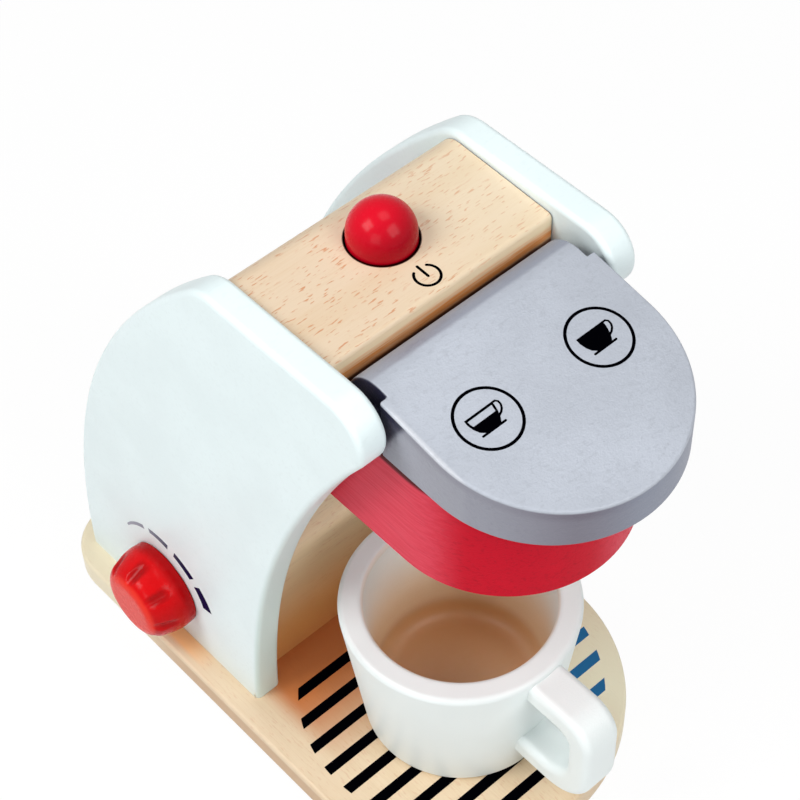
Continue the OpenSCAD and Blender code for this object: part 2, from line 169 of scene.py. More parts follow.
class SmallSizes(PropertyGroup):
    """Shape of the button, the knob and the cup."""

    button_y: length("Button place", 14, "Distance of the button in front of the origin")
    button_r: length("Button radius", 9.1, "Radius of the button's stem and dome")
    button_gap: length("Button gap", 0.6, "Gap between the button and its hole")
    flange_r: length("Flange radius", 11.5, "Radius of the button's flange")
    flange_th: length("Flange thickness", 3, "Thickness of the button's flange")
    button_ease: length("Button easing", 0.4, "Rounding of the spigot's and the flange's edges")
    spigot_r: length("Spigot radius", 4, "Radius of the button's spring spigot")
    spigot_len: length("Spigot length", 5, "Length of the button's spring spigot")
    pocket_r: length("Spring pocket", 6.6, "Radius of the spring pocket")
    pocket_depth: length("Spring pocket depth", 18, "Depth of the spring pocket")
    knob_r: length("Knob radius", 14.7, "Largest radius of the knob")
    knob_end: length("Knob end radius", 11.8, "Radius of the knob before its end rounds over")
    knob_len: length("Knob length", 14.2, "Length of the knob")
    knob_ring: length("Knob ring", 5, "Height of the knob's smooth ring")
    knob_draw: length("Knob draw-in", 0.4, "Draw-in of the ring at the panel")
    knob_round: length("Knob rounding", 5.5, "Rounding of the knob's outer end")
    knob_step: length("Knob step", 0.45, "Height of the knob's rows of faces")
    flutes: IntProperty(name="Flutes", description="Flutes round the knob", default=8, min=3)
    flute_r: length("Flute radius", 2.4, "Radius of each flute")
    flute_depth: length("Flute depth", 1.6, "Depth of each flute at the knob's end")
    flute_soft: length("Flute softness", 0.3, "Softening of the flutes' edges")
    axle_bore: length("Axle bore", 4.1, "Radius of the panel's bore for the axle")
    washer_seat: length("Washer seat", 9.05, "Radius of the recess for the felt washer")
    washer_deep: length("Washer seat depth", 1.5, "Depth of the recess for the felt washer")
    collar_seat: length("Collar seat", 9.6, "Radius of the pocket for the axle's collar")
    collar_deep: length("Collar seat depth", 6.9, "Depth of the pocket for the axle's collar")
    cup_y: length("Cup place", 42, "Distance of the cup in front of the origin")
    cup_rim: length("Cup rim", 35.4, "Outer radius of the cup at its rim")
    cup_foot: length("Cup foot", 29, "Outer radius of the cup at its foot")
    cup_wall: length("Cup wall", 7.4, "Thickness of the cup's wall at the rim")
    cup_inside: length("Cup inside", 25, "Inner radius of the cup at its floor")
    cup_floor: length("Cup floor", 8.7, "Thickness of the cup's floor")
    cup_edge: length("Cup edge", 1.8, "Rounding of the cup's edges")
    cup_bowl: length("Cup bowl", 6, "Rounding where the cup's inside meets its floor")
    handle_reach: length("Handle reach", 58, "Reach of the handle from the cup's axis")
    handle_drop: length("Handle drop", 1.6, "Step from the rim to the handle's top")
    handle_h: length("Handle height", 40, "Height of the handle")
    handle_band: length("Handle band", 8.5, "Width of the wood round the finger hole")
    handle_edge: length("Handle edge", 2.6, "Rounding of the handle's edges")
    screw_head: length("Screw head", 4, "Radius of the screws' countersunk heads")
    slot_reach: length("Slot reach", 2.4, "Reach of a screw head's crossed slots")
    slot_width: length("Slot width", 0.9, "Width of a screw head's crossed slots")
    slot_deep: length("Slot depth", 1.2, "Depth of a screw head's crossed slots")


class PrintSizes(PropertyGroup):
    """Sizes of the printed stripes, scale and signs."""

    ink: length("Ink", 0.04, "Height of the ink above its surface")
    stripe_first: length("First stripe", 7.9, "Distance of the first stripe in front of the origin")
    stripe_pitch: length("Stripe pitch", 8.72, "Distance from one stripe to the next")
    stripe_w: length("Stripe width", 3.35, "Width of a stripe")
    stripe_r: length("Stripe field", 46.8, "Radius of the round field that the stripes fill")
    stripe_field: length("Stripe field place", 38, "Distance of the field in front of the origin")
    stripes: IntProperty(name="Stripes", description="Number of stripes", default=9, min=1)
    scale_r: length("Scale radius", 21, "Radius of the scale round the knob")
    scale_from: angle("Scale start", 166, "Where the scale's widest mark starts")
    scale_step: angle("Scale step", 33, "Turn from one mark of the scale to the next")
    scale_fill: FloatProperty(
        name="Scale fill", description="Share of a step that a mark fills", default=0.76, min=0, max=1
    )
    scale_marks: IntProperty(name="Scale marks", description="Number of marks", default=4, min=1)
    scale_wide: length("Scale width", 4.2, "Width of the scale at its wide end")
    scale_thin: length("Scale thin end", 0.8, "Width of the scale at its thin end")
    sign_r: length("Sign ring", 8.35, "Radius of the rings round the cup signs")
    sign_x: length("Sign place across", 18.3, "Distance of the cup signs from the middle")
    sign_y: length("Sign place", 71, "Distance of the cup signs in front of the origin")
    sign_line: length("Sign line", 0.75, "Width of the signs' lines")
    power_y: length("Power sign place", 30.5, "Distance of the power sign in front of the origin")
    power_r: length("Power sign", 3.35, "Radius of the power sign's ring")
    power_line: length("Power sign line", 0.75, "Width of the power sign's lines")
    power_open: angle("Power sign opening", 38, "Half the angle of the ring's opening")
    power_top: length("Power sign bar", 3.7, "Reach of the bar behind the sign's middle")
    power_foot: FloatProperty(
        name="Power sign bar foot",
        description="Place of the bar's front end behind the sign's middle",
        default=-0.3 * MM,
        unit="LENGTH",
        precision=5,
    )


class Colours(PropertyGroup):
    """Colours of the woods, paints and inks, and of the light and shade painted on them."""

    beech: colour("Beech", (229, 207, 179), "Plain beech")
    beech_deep: colour("Beech, deep", (216, 184, 142), "Darker bands of the beech")
    fleck: colour("Fleck", (210, 152, 112), "Flecks of the beech")
    base_wood: colour("Base wood", (236, 214, 182), "Beech of the base board")
    # Painted light: paler wood on the base board's right front and back, and on the top block's
    # right.
    painted_light_wood: colour("Base wood, pale", (254, 246, 216), "Base board at its right front")
    # Painted shade: darker, warmer wood between the panels, where the bay lies in shade.
    bay_shade_wood: colour("Bay wood", (202, 122, 66), "Base board between the panels")
    side_wood: colour("Base wood, side", (208, 172, 132), "Base board's left side")
    # Painted shadow: the warm shadow that the knob casts on the base board.
    knob_shadow_wood: colour("Wood by the knob", (255, 198, 136), "Base board beside the knob")
    # Painted shade: warmer, darker wood low on the rear block's front, deep in the bay.
    bay_back_shade: colour("Bay wood, back", (236, 172, 104), "Foot of the rear block's front")
    # Painted light: pale wood high on the block's front face, brighter than its light would make it.
    lip_light_wood: colour("Lip wood", (255, 232, 194), "Front face of the top block, near its top")
    # A darker streaked wood tone, partly painted shade below the lid's round back.
    end_wood_and_shade: colour("End wood", (250, 162, 86), "Front face of the top block, lower down")
    # Dark joints at the block's ends, and painted shade in the gap above the lid and in the button's
    # hole.
    seam: colour("Seam", (70, 32, 12), "Dark lines at the top block's edges")
    shade_wood: colour("Rear wood", (246, 226, 188), "Wood of the rear block")
    white: colour("White paint", (240, 254, 255), "Paint of the panels")
    # Painted shade: greyer, greener white on the front edges, which face away from the light.
    white_shaded_edge: colour("White paint, edge", (214, 232, 228), "Paint at the panels' front edges")
    grey: colour("Grey paint", (186, 192, 203), "Paint of the lid")
    # Painted shade: the darker, purple grey of the lid's front and sides.
    grey_side_shade: colour("Grey paint, side", (104, 98, 113), "Paint of the lid's front and sides")
    # Painted shade: the bluer grey of the lid's right side.
    grey_right_shade: colour("Grey paint, right", (147, 160, 180), "Paint of the lid's right side")
    # Painted shadow: near-black navy in the gaps between the lid and the panels, on the lid and on
    # the rod.
    grey_gap_shadow: colour("Grey paint, gap", (30, 28, 54), "Paint of the lid by the panels")
    # Painted highlight: a light line along the lid's left top edge.
    grey_rim_highlight: colour("Grey paint, rim", (238, 238, 242), "Paint along the lid's left top edge")
    # Painted reflection: the pink sheen of bright light on the brew head's sides.
    red_sheen: colour("Red stain, worn", (236, 84, 104), "Thin stain on the brew head's sides")
    red_stain: colour("Red stain", (204, 6, 38), "Stain of the brew head")
    red_deep: colour("Red stain, deep", (150, 10, 30), "Grain of the stained brew head")
    button: colour("Button lacquer", (226, 8, 38), "Lacquer of the button")
    knob: colour("Knob lacquer", (224, 6, 14), "Lacquer of the knob")
    # Painted reflection: the pink sheen of bright light on the knob's flat end.
    knob_end: colour("Knob lacquer, end", (250, 62, 44), "Lacquer of the knob's flat end")
    cup: colour("Cup paint", (246, 254, 253), "Paint of the cup")
    cup_wood: colour("Cup wood", (226, 196, 158), "Wood that shows inside the cup")
    # Partly painted shade: the deep tone of the cup's floor, strongest on its far side.
    cup_deep_and_shade: colour("Cup wood, deep", (198, 142, 84), "Wood at the cup's floor")
    birch: colour("Birch", (224, 196, 156), "Dowels, pegs, rod and axle")
    felt: colour("Felt", (52, 50, 52), "Washer under the knob")
    steel: colour("Steel", (190, 192, 196), "Spring and screws")
    ink: colour("Ink", (2, 2, 5), "Printed signs")
    # The stripes' print is blue throughout; the black on their left is painted shade.
    ink_blue: colour("Blue ink", (46, 112, 164), "Printed stripes at their right end")
    ink_scale: colour("Scale ink", (34, 20, 62), "Scale at its wide end")
    ink_faint: colour("Faint ink", (176, 180, 192), "Scale at its thin end")


# ---- Outlines ----

def arc(centre, radius, start, end, steps):
    """Points of an arc about a centre, from one bearing to another in radians."""
    return [
        Vector(centre) + radius * Vector((math.cos(turn), math.sin(turn)))
        for turn in (start + (end - start) * k / steps for k in range(steps + 1))
    ]


def half_round(low, radius):
    """Points of the half circle that bows forward as far as a box's low corner."""
    return arc((0, low.y + radius), radius, math.pi, 2 * math.pi, 96)


def mirrored(points):
    """Points and then their mirror images across the middle, back to the first."""
    return points + [Vector((-point.x, point.y)) for point in reversed(points)]


def bearing(start, end):
    """Direction in radians from one point to another."""
    return math.atan2(end[1] - start[1], end[0] - start[0])


def corner_arc(before, here, after, radius, steps):
    """Points of the arc that rounds a corner between two others."""
    u = (before - here).normalized()
    v = (after - here).normalized()
    half = u.angle(v) / 2
    centre = here + (u + v).normalized() * radius / math.sin(half)
    start = bearing(centre, here + u * radius / math.tan(half))
    side = math.copysign(1, u.y * v.x - u.x * v.y)
    return arc(centre, radius, start, start + side * (math.pi - 2 * half), steps)


def rounded(corners, steps=8):
    """Outline through corners given as (x, y, radius)."""
    points = []
    for i, (x, y, radius) in enumerate(corners):
        here = Vector((x, y))
        if radius:
            before = Vector(corners[i - 1][:2])
            after = Vector(corners[(i + 1) % len(corners)][:2])
            points += corner_arc(before, here, after, radius, steps)
        else:
            points.append(here)
    return points


def tidy(outline):
    """The outline without doubled points, turning anticlockwise."""
    points = [p for i, p in enumerate(outline) if (p - outline[i - 1]).length > NEAR]
    area = sum(p.x * points[i - 1].y - points[i - 1].x * p.y for i, p in enumerate(points))
    return points if area < 0 else points[::-1]


def inset(outline, amount):
    """An anticlockwise outline drawn in by an amount all round."""
    drawn = []
    for i, here in enumerate(outline):
        before = (here - outline[i - 1]).normalized()
        after = (outline[(i + 1) % len(outline)] - here).normalized()
        side = Vector((-before.y, before.x))
        inward = (side + Vector((-after.y, after.x))).normalized()
        drawn.append(here + inward * amount / inward.dot(side))
    return drawn


def ribbon(path, width, steps=6):
    """Outline of a line of a width along a path, with round ends."""
    right, left = [], []
    for i, here in enumerate(path):
        ahead = (path[min(i + 1, len(path) - 1)] - path[max(i - 1, 0)]).normalized()
        side = Vector((-ahead.y, ahead.x)) * width / 2
        left.append(here + side)
        right.append(here - side)
    start = bearing(path[1], path[0])
    end = bearing(path[-2], path[-1])
    half = math.pi / 2
    return (
        right
        + arc(path[-1], width / 2, end - half, end + half, steps)[1:-1]
        + left[::-1]
        + arc(path[0], width / 2, start - half, start + half, steps)[1:-1]
    )


# ---- Solids ----

def lying(u, v, w):
    """A point of a plan, at a height."""
    return Vector((u, v, w))


def standing(u, v, w):
    """A point of a side view, at a place across."""
    return Vector((w, u, v))


def skin(rows):
    """A closed mesh over rows of points, each a ring or a single pole."""
    mesh = bmesh.new()
    rings = [[mesh.verts.new(point) for point in row] for row in rows]
    count = max(len(ring) for ring in rings)
    for low, high in zip(rings, rings[1:]):
        for i in range(count):
            corners = [low[(i - 1) % len(low)], low[i % len(low)]]
            corners += [high[i % len(high)], high[(i - 1) % len(high)]]
            mesh.faces.new(dict.fromkeys(corners))
    for ring in (rings[0], rings[-1]):
        if len(ring) > 1:
            mesh.faces.new(ring)
    bmesh.ops.recalc_face_normals(mesh, faces=mesh.faces)
    return mesh


def solid(name, mesh):
    """An object made of a bmesh."""
    data = bpy.data.meshes.new(name)
    mesh.to_mesh(data)
    mesh.free()
    piece = bpy.data.objects.new(name, data)
    bpy.context.scene.collection.objects.link(piece)
    return piece


def slab(name, outline, low, high, edge, place, foot=None, steps=5):
    """A plate with its outline's edges rounded at both faces. Its foot, if it
    has one, is the level at which the outline stands on another piece."""
    outline = tidy(outline)
    turns = [math.pi / 2 * k / steps for k in range(steps + 1)]
    levels = [(edge * (1 - math.sin(t)), low + edge * (1 - math.cos(t))) for t in turns]
    levels += [(edge * (1 - math.cos(t)), high - edge * (1 - math.sin(t))) for t in turns]
    rows = []
    for amount, level in levels:
        row = inset(outline, amount)
        if foot is not None:
            for at, drawn in zip(outline, row):
                drawn.y = foot if at.y < foot + NEAR else drawn.y
        rows.append([place(p.x, p.y, level) for p in row])
    return solid(name, skin(rows))


def lathe(name, profile, place, steps=128, shape=None):
    """A turned solid from points (radius, height). A shape function of radius,
    height and turn may change the radius."""
    rows = []
    for radius, height in profile:
        if radius < NEAR:
            rows.append([place(0, 0, height)])
            continue
        row = []
        for k in range(steps):
            turn = 2 * math.pi * k / steps
            r = shape(radius, height, turn) if shape else radius
            row.append(place(r * math.cos(turn), r * math.sin(turn), height))
        rows.append(row)
    return solid(name, skin(rows))


def prism(outline, low, high, place, name="cutter"):
    """A plate with sharp edges."""
    return slab(name, outline, low, high, 0, place, steps=1)


def pin(radius, low, high, place):
    """A cylinder to cut with."""
    return lathe("cutter", [(0, low), (radius, low), (radius, high), (0, high)], place, steps=96)


def cross_pin(radius, low, high, y, z):
    """A cylinder across the toy to cut with."""
    return pin(radius, low, high, lambda u, v, w: Vector((w, y + u, z + v)))


def upright(x, y):
    """Placing of a turned solid on an upright axis."""
    return lambda u, v, w: Vector((x + u, y + v, w))


def copies_of(*nodes):
    """Merged copies of CAD nodes' meshes, such as those that sit in a piece."""
    copies = []
    for node in nodes:
        mesh = bmesh.new()
        mesh.from_mesh(frame["nodes"][node].data)
        bmesh.ops.remove_doubles(mesh, verts=mesh.verts, dist=NEAR)
        copies.append(solid("cutter", mesh))
    return copies


def settle(piece):
    """Turns a piece's modifiers into plain mesh."""
    graph = bpy.context.evaluated_depsgraph_get()
    shaped = piece.evaluated_get(graph)
    data = bpy.data.meshes.new_from_object(
        shaped, preserve_all_data_layers=True, depsgraph=graph
    )
    piece.modifiers.clear()
    old = piece.data
    piece.data = data
    bpy.data.meshes.remove(old)
    return piece


def combine(piece, others, operation):
    """Cuts, joins or crosses a piece with others, which are used up."""
    for other in others:
        step = piece.modifiers.new("combine", "BOOLEAN")
        step.operation = operation
        step.solver = "EXACT"
        step.object = other
    settle(piece)
    for other in others:
        data = other.data
        bpy.data.objects.remove(other)
        bpy.data.meshes.remove(data)
    if not piece.data.polygons:
        raise RuntimeError(f"{piece.name} is empty after {operation}")
    return piece


def cut(piece, *others):
    """Cuts others out of a piece."""
    return combine(piece, others, "DIFFERENCE")


def dress(piece, finish, body, nodes=(), sharp=32):
    """Gives a piece its smooth shading and its finish, and hands it over."""
    weld = piece.modifiers.new("weld", "WELD")
    weld.merge_threshold = NEAR
    settle(piece)
    for face in piece.data.polygons:
        face.use_smooth = True
    piece.data.set_sharp_from_angle(angle=math.radians(sharp))
    weights = piece.modifiers.new("weights", "WEIGHTED_NORMAL")
    weights.keep_sharp = True
    settle(piece)
    piece.data.name = piece.name
    piece.data.materials.clear()
    piece.data.materials.append(finish)
    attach(piece, body)
    if nodes:
        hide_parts(*nodes)
    return piece


# ---- Shared places ----

def nose_centre(body):
    """Centre of the arc at the panels' nose, as (y, z)."""
    return Vector((-body.nose_y, BOX["side_panel_right"][1].z - body.nose_r))


def front_centre(body):
    """Centre of the arc of the panels' hollow front edge, as (y, z)."""
    nose = nose_centre(body)
    rise = nose.y + body.front_drop
    reach = body.front_arc + body.nose_r
    return Vector((nose.x - math.sqrt(reach**2 - rise**2), -body.front_drop))


def block_top(body):
    """Level at which the top block's back and sloping top would meet."""
    return BOX["side_panel_right"][1].z - body.block_drop


def block_level(body, y):
    """Height of the top block's sloping top at a place."""
    back = BOX["top_block"][1].y
    return block_top(body) - (back - y) * math.tan(body.block_slope)


def lid_crest(body):
    """Where the lid's sloping top runs into its round back, in the middle."""
    slope = body.lid_slope
    return HINGE + body.barrel_r * Vector((0, -math.sin(slope), math.cos(slope)))


def screw_places(small):
    """Axes of the screws under the base board, as (x, y)."""
    low, high = BOX["base_screws"]
    out = high.x - small.screw_head
    rows = (low.y + small.screw_head, high.y - small.screw_head)
    return [Vector((x, y)) for x in (-out, 0, out) for y in rows]


# ---- Nodes ----

class Value:
    """A number in a node tree. Arithmetic on it adds Math nodes."""

    def __init__(self, nodes, socket):
        self.nodes = nodes
        self.socket = socket

    def math(self, operation, *others):
        """What a Math node makes of this value and others."""
        return self.nodes.math(operation, self, *others)

    def __add__(self, other):
        return self.math("ADD", other)

    __radd__ = __add__

    def __sub__(self, other):
        return self.math("SUBTRACT", other)

    def __rsub__(self, other):
        return self.nodes.math("SUBTRACT", other, self)

    def __mul__(self, other):
        return self.math("MULTIPLY", other)

    __rmul__ = __mul__

    def __truediv__(self, other):
        return self.math("DIVIDE", other)

    def __rtruediv__(self, other):
        return self.nodes.math("DIVIDE", other, self)

    def __pow__(self, power):
        return self.math("POWER", power)

    def __abs__(self):
        return self.math("ABSOLUTE")

    def most(self, other):
        """The larger of two values."""
        return self.math("MAXIMUM", other)

    def smooth(self, low, high):
        """0 below one value, 1 above another, and a smooth step between."""
        settings = {"interpolation_type": "SMOOTHSTEP"}
        values = {"Value": self, "From Min": low, "From Max": high}
        return Value(self.nodes, self.nodes.result("ShaderNodeMapRange", settings, values))

    def fade(self, low, high):
        """1 below one value, 0 above another, and a smooth step between."""
        return 1 - self.smooth(low, high)


class Nodes:
    """A node tree under construction."""

    def __init__(self, tree):
        self.tree = tree

    @staticmethod
    def pick(sockets, key):
        """A socket by its number, its identifier or its name."""
        if isinstance(key, int):
            return sockets[key]
        same = [socket for socket in sockets if socket.identifier == key]
        return same[0] if same else sockets[key]

    def feed(self, socket, value):
        """Links a socket to a value of the tree, or sets it."""
        if isinstance(value, Value):
            value = value.socket
        if isinstance(value, bpy.types.NodeSocket):
            self.tree.links.new(value, socket)
        else:
            socket.default_value = value

    def node(self, kind, settings=None, values=None):
        """Adds a node: its settings first, then its sockets' values or links."""
        node = self.tree.nodes.new(kind)
        for key, value in (settings or {}).items():
            setattr(node, key, value)
        for key, value in (values or {}).items():
            self.feed(self.pick(node.inputs, key), value)
        return node

    def result(self, kind, settings=None, values=None, output=0):
        """One output of a new node, its first unless another is named."""
        return self.pick(self.node(kind, settings, values).outputs, output)

    def math(self, operation, *values):
        """The value that a Math node gives."""
        settings = {"operation": operation}
        return Value(self, self.result("ShaderNodeMath", settings, dict(enumerate(values))))


# ---- Finishes ----

class Finish(Nodes):
    """A material under construction, around one Principled shader."""

    def __init__(self, name, **constants):
        self.material = bpy.data.materials.new(name)
        self.material.use_nodes = True
        super().__init__(self.material.node_tree)
        self.shader = self.tree.nodes["Principled BSDF"]
        self.place = self.result("ShaderNodeTexCoord", output="Object")
        self.set(**constants)

    def set(self, **sockets):
        """Links or sets sockets of the shader."""
        for key, value in sockets.items():
            self.feed(self.shader.inputs[key.replace("_", " ")], value)

    def axis(self, name):
        """One object coordinate in millimetres."""
        parts = self.node("ShaderNodeSeparateXYZ", None, {"Vector": self.place})
        return Value(self, parts.outputs[name]) / MM

    x = property(lambda self: self.axis("X"))
    y = property(lambda self: self.axis("Y"))
    z = property(lambda self: self.axis("Z"))

    def share(self, axis, node):
        """How far a point lies along a CAD node's box, from 0 to 1."""
        low, high = (getattr(corner, axis) / MM for corner in BOX[node])
        return (self.axis(axis.upper()) - low) / (high - low)

    def noise(self, scale, detail=2.0, rough=0.5):
        """Soft noise in cells to a millimetre, with one scale or one for each axis."""
        scales = scale if isinstance(scale, list) else [scale] * 3
        place = self.result(
            "ShaderNodeMapping",
            {"vector_type": "POINT"},
            {"Vector": self.place, "Scale": [one / MM for one in scales]},
        )
        values = {"Vector": place, "Scale": 1.0, "Detail": detail, "Roughness": rough}
        return Value(self, self.result("ShaderNodeTexNoise", None, values))

    def mix(self, first, second, share):
        """A colour between two others."""
        sockets = {"Factor_Float": share}
        for key, tone in (("A_Color", first), ("B_Color", second)):
            linked = isinstance(tone, bpy.types.NodeSocket)
            sockets[key] = tone if linked else (*tone, 1.0)
        return self.result("ShaderNodeMix", {"data_type": "RGBA"}, sockets, "Result_Color")

    def zoned(self, tone, zones):
        """A colour with zones laid over it, each a colour and a function of
        the finish that says where it shows."""
        for colour, where in zones:
            tone = self.mix(tone, colour, where(self))
        return tone

    def relief(self, height, depth):
        """Bump from a height from 0 to 1, over a depth in millimetres."""
        values = {"Strength": 1.0, "Distance": depth * MM, "Height": height}
        self.set(Normal=self.result("ShaderNodeBump", None, values))


def along(grain, length_scale, cross_scale):
    """Noise scales of streaks that run along one axis."""
    return [length_scale if axis == grain else cross_scale for axis in "xyz"]


def scaled(tone, factor):
    """A colour times a factor."""
    return [min(1.0, level * factor) for level in tone]


def wood(name, plain, deep, fleck, grain, flecks=1.0, coat=0.15, zones=()):
    """Clear-lacquered wood with bands, fibres and short flecks."""
    finish = Finish(name, Coat_Weight=coat, Coat_Roughness=0.3, IOR=1.45)
    bands = finish.noise(along(grain, 0.012, 0.09), 3, 0.55)
    fibres = finish.noise(along(grain, 0.07, 2.2), 3, 0.6)
    marks = finish.noise(along(grain, 0.34, 1.75), 1.5)
    patches = finish.noise(0.09, 1)
    short = marks.smooth(0.595, 0.70) * patches.smooth(0.24, 0.5)
    tone = finish.mix(plain, deep, bands.smooth(0.35, 0.75) * 0.45)
    tone = finish.mix(tone, deep, fibres.smooth(0.45, 0.8) * 0.35)
    tone = finish.mix(tone, fleck, short * flecks)
    finish.set(Base_Color=finish.zoned(tone, zones), Roughness=0.42 + fibres * 0.12)
    finish.relief(1 - short * 0.6 - fibres * 0.4, 0.05)
    return finish.material


def paint(name, tone, shade, zones, rough=0.36, stipple=0.035):
    """Satin paint: faint clouds in its colour, and a fine stipple."""
    finish = Finish(name, Coat_Weight=0.08, Coat_Roughness=0.25)
    clouds = finish.noise(0.045, 3)
    grains = finish.noise(1.6)
    specks = finish.noise(along("x", 0.45, 0.8), 2, 0.6)
    mixed = finish.mix(tone, shade, clouds.smooth(0.3, 0.7) * 0.6)
    mixed = finish.mix(mixed, shade, specks.smooth(0.52, 0.7) * 0.6)
    finish.set(Base_Color=finish.zoned(mixed, zones), Roughness=rough + grains * 0.12)
    finish.relief(grains * 0.3 + specks * 0.7, stipple)
    return finish.material


def stain(name, tone, deep, light, zones):
    """Red stain that lets the grain of the wood show."""
    finish = Finish(name, Specular_IOR_Level=0.07)
    streaks = finish.noise(along("y", 0.06, 1.1), 3, 0.6)
    lines = finish.noise(along("y", 0.16, 2.6), 2, 0.6)
    bands = finish.noise(along("y", 0.015, 0.12))
    mixed = finish.mix(tone, deep, streaks.smooth(0.5, 0.75) * 0.4)
    mixed = finish.mix(mixed, deep, lines.smooth(0.6, 0.72) * 0.3)
    mixed = finish.mix(mixed, light, bands.smooth(0.5, 0.8) * 0.25)
    finish.set(Base_Color=finish.zoned(mixed, zones), Roughness=0.36 + streaks * 0.16)
    finish.relief(1 - lines, 0.06)
    return finish.material


def lacquer(name, tone, deep, zones):
    """Thick gloss lacquer with faint unevenness."""
    finish = Finish(name, Coat_Weight=0.14, Coat_Roughness=0.13, Specular_IOR_Level=0.05)
    clouds = finish.noise(0.12)
    ripples = finish.noise(0.5)
    mixed = finish.mix(tone, deep, clouds.smooth(0.35, 0.75) * 0.2)
    finish.set(Base_Color=finish.zoned(mixed, zones), Roughness=0.22 + ripples * 0.1)
    finish.relief(ripples, 0.03)
    return finish.material


def cup_paint(name, tone, shade, bare, deep, small):
    """White paint outside, thinning to the wood inside the cup. The floor's deep tone is partly
    painted shade, strongest on its far side under the brew head.
    """
    low, high = (corner.z / MM for corner in BOX["cup_body"])
    finish = Finish(name, Coat_Weight=0.08, Coat_Roughness=0.25)
    clouds = finish.noise(0.05)
    grains = finish.noise(1.6)
    rings = finish.noise(along("z", 1.4, 0.25), 2, 0.6)
    x = finish.x
    y = finish.y + small.cup_y / MM
    depth = high - finish.z
    mouth = (small.cup_rim - small.cup_wall) / MM
    taper = (mouth - small.cup_inside / MM) / (high - low - small.cup_floor / MM)
    inside = (mouth + 1.2 - depth * taper - (x * x + y * y) ** 0.5).smooth(0, 0.9)
    rim_line = depth.smooth(0.1, 0.5) - depth.smooth(1.0, 2.4)
    far_side_shade = (x * 0.66 + y * 0.75).smooth(-6, 26)
    outer = finish.mix(tone, shade, clouds.smooth(0.3, 0.7) * 0.5)
    inner = finish.mix(tone, bare, depth.smooth(1, 34) * 0.9 + rings * 0.1 + rim_line * 0.3)
    # Painted shade: the floor's deep tone is stronger on its far side, under the brew head.
    inner = finish.mix(inner, deep, depth.smooth(34, 41) * (0.35 + far_side_shade * 0.5))
    finish.set(
        Base_Color=finish.mix(outer, inner, inside * finish.z.smooth(low + 4, low + 7)),
        Roughness=0.38 + grains * 0.12,
    )
    finish.relief(grains, 0.035)
    return finish.material


def metal(name, tone, shade):
    """Drawn or plated steel."""
    finish = Finish(name, Metallic=1.0)
    lines = finish.noise(along("z", 0.6, 3.0), 3)
    mixed = finish.mix(tone, shade, lines.smooth(0.3, 0.7))
    finish.set(Base_Color=mixed, Roughness=0.28 + lines * 0.15)
    finish.relief(lines, 0.02)
    return finish.material


def cloth(name, tone, shade):
    """Pressed felt."""
    finish = Finish(name, Sheen_Weight=0.4)
    fibres = finish.noise(4.0, 4, 0.7)
    mixed = finish.mix(tone, shade, fibres.smooth(0.35, 0.7))
    finish.set(Base_Color=mixed, Roughness=0.85 + fibres * 0.1)
    finish.relief(fibres, 0.15)
    return finish.material


def ink(name, tone, zones=()):
    """Printing ink, a little thinner in places."""
    finish = Finish(name, Specular_IOR_Level=0.0)
    grains = finish.noise(2.5)
    mixed = finish.mix(tone, scaled(tone, 3), grains.smooth(0.55, 0.9) * 0.08)
    finish.set(Base_Color=finish.zoned(mixed, zones), Roughness=0.45 + grains * 0.15)
    finish.relief(grains, 0.01)
    return finish.material


# ---- Where a finish changes, and where light and shade are painted ----
# Each function gives a share from 0 to 1 over its piece. Depths, heights and
# distances are in millimetres, and shares of a box run from 0 to 1.

def block_depth(finish):
    """Depth on the top block's front face, below its top edge."""
    front = BOX["top_block"][0].y
    ahead = front / MM + 3 - finish.y
    level = block_level(bpy.context.scene.toy_body, front) / MM
    return (level - finish.z) * ahead.smooth(0, 1)


def block_right_light(finish):
    """Painted light: 0 on the top block's left, more to the right."""
    return finish.share("x", "top_block").smooth(0.095, 1.01) * 0.25


def block_lip_light(finish):
    """Painted light: 1 on the top block's front face."""
    return block_depth(finish).smooth(0.3, 1.8)


def block_front_tone_and_shade(finish):
    """1 low on the top block's front face, in streaks: a darker wood tone, and painted shade from the
    lid's round back.
    """
    streaks = finish.noise(along("x", 0.05, 1.3), 2, 0.6).smooth(0.35, 0.65)
    return (block_depth(finish) + streaks * 0.8).smooth(2.8, 6.4) * (0.6 + streaks * 0.4)


def block_joints_and_gap_shade(finish):
    """1 above the lid on the top block's front face, a painted shadow in the gap, and at the block's
    ends, dark joints with the panels.
    """
    half = BOX["top_block"][1].x / MM
    ends = abs(finish.x).smooth(half - 0.5, half - 0.2)
    return ends.most(block_depth(finish).smooth(7.3, 8.7)) * 0.95


def block_hole_shade(finish):
    """Painted shade: 1 on the wall of the button's hole in the top block."""
    small = bpy.context.scene.toy_small
    x = finish.x
    y = finish.y + small.button_y / MM
    off = (x * x + y * y) ** 0.5 - (small.button_r + small.button_gap) / MM
    return off.fade(0.05, 0.3)


def rod_gap_shade(finish):
    """Painted shade: 1 on the hinge rod where it shows beside the lid's tongue, in the gaps by the
    panels.
    """
    half = bpy.context.scene.toy_body.tongue_half / MM
    return abs(finish.x).smooth(half - 0.6, half - 0.2)


def button_low_shade(finish):
    """Painted shade: 0 on top of the button's dome and at its back, 1 low at its front."""
    small = bpy.context.scene.toy_small
    down = (BOX["button"][1].z - small.button_r) / MM - finish.z
    ahead = -small.button_y / MM - finish.y
    return (down + ahead).smooth(-11, 9) * 0.9


def button_stem_shadow(finish):
    """Painted shadow: 1 on the button's stem below the top block's top."""
    scene = bpy.context.scene
    level = block_level(scene.toy_body, -scene.toy_small.button_y) / MM
    return finish.z.fade(level - 0.5, level + 0.1)


def knob_rise(finish):
    """Height on the knob above its foot by the panel."""
    return BOX["knob"][1].x / MM - finish.x


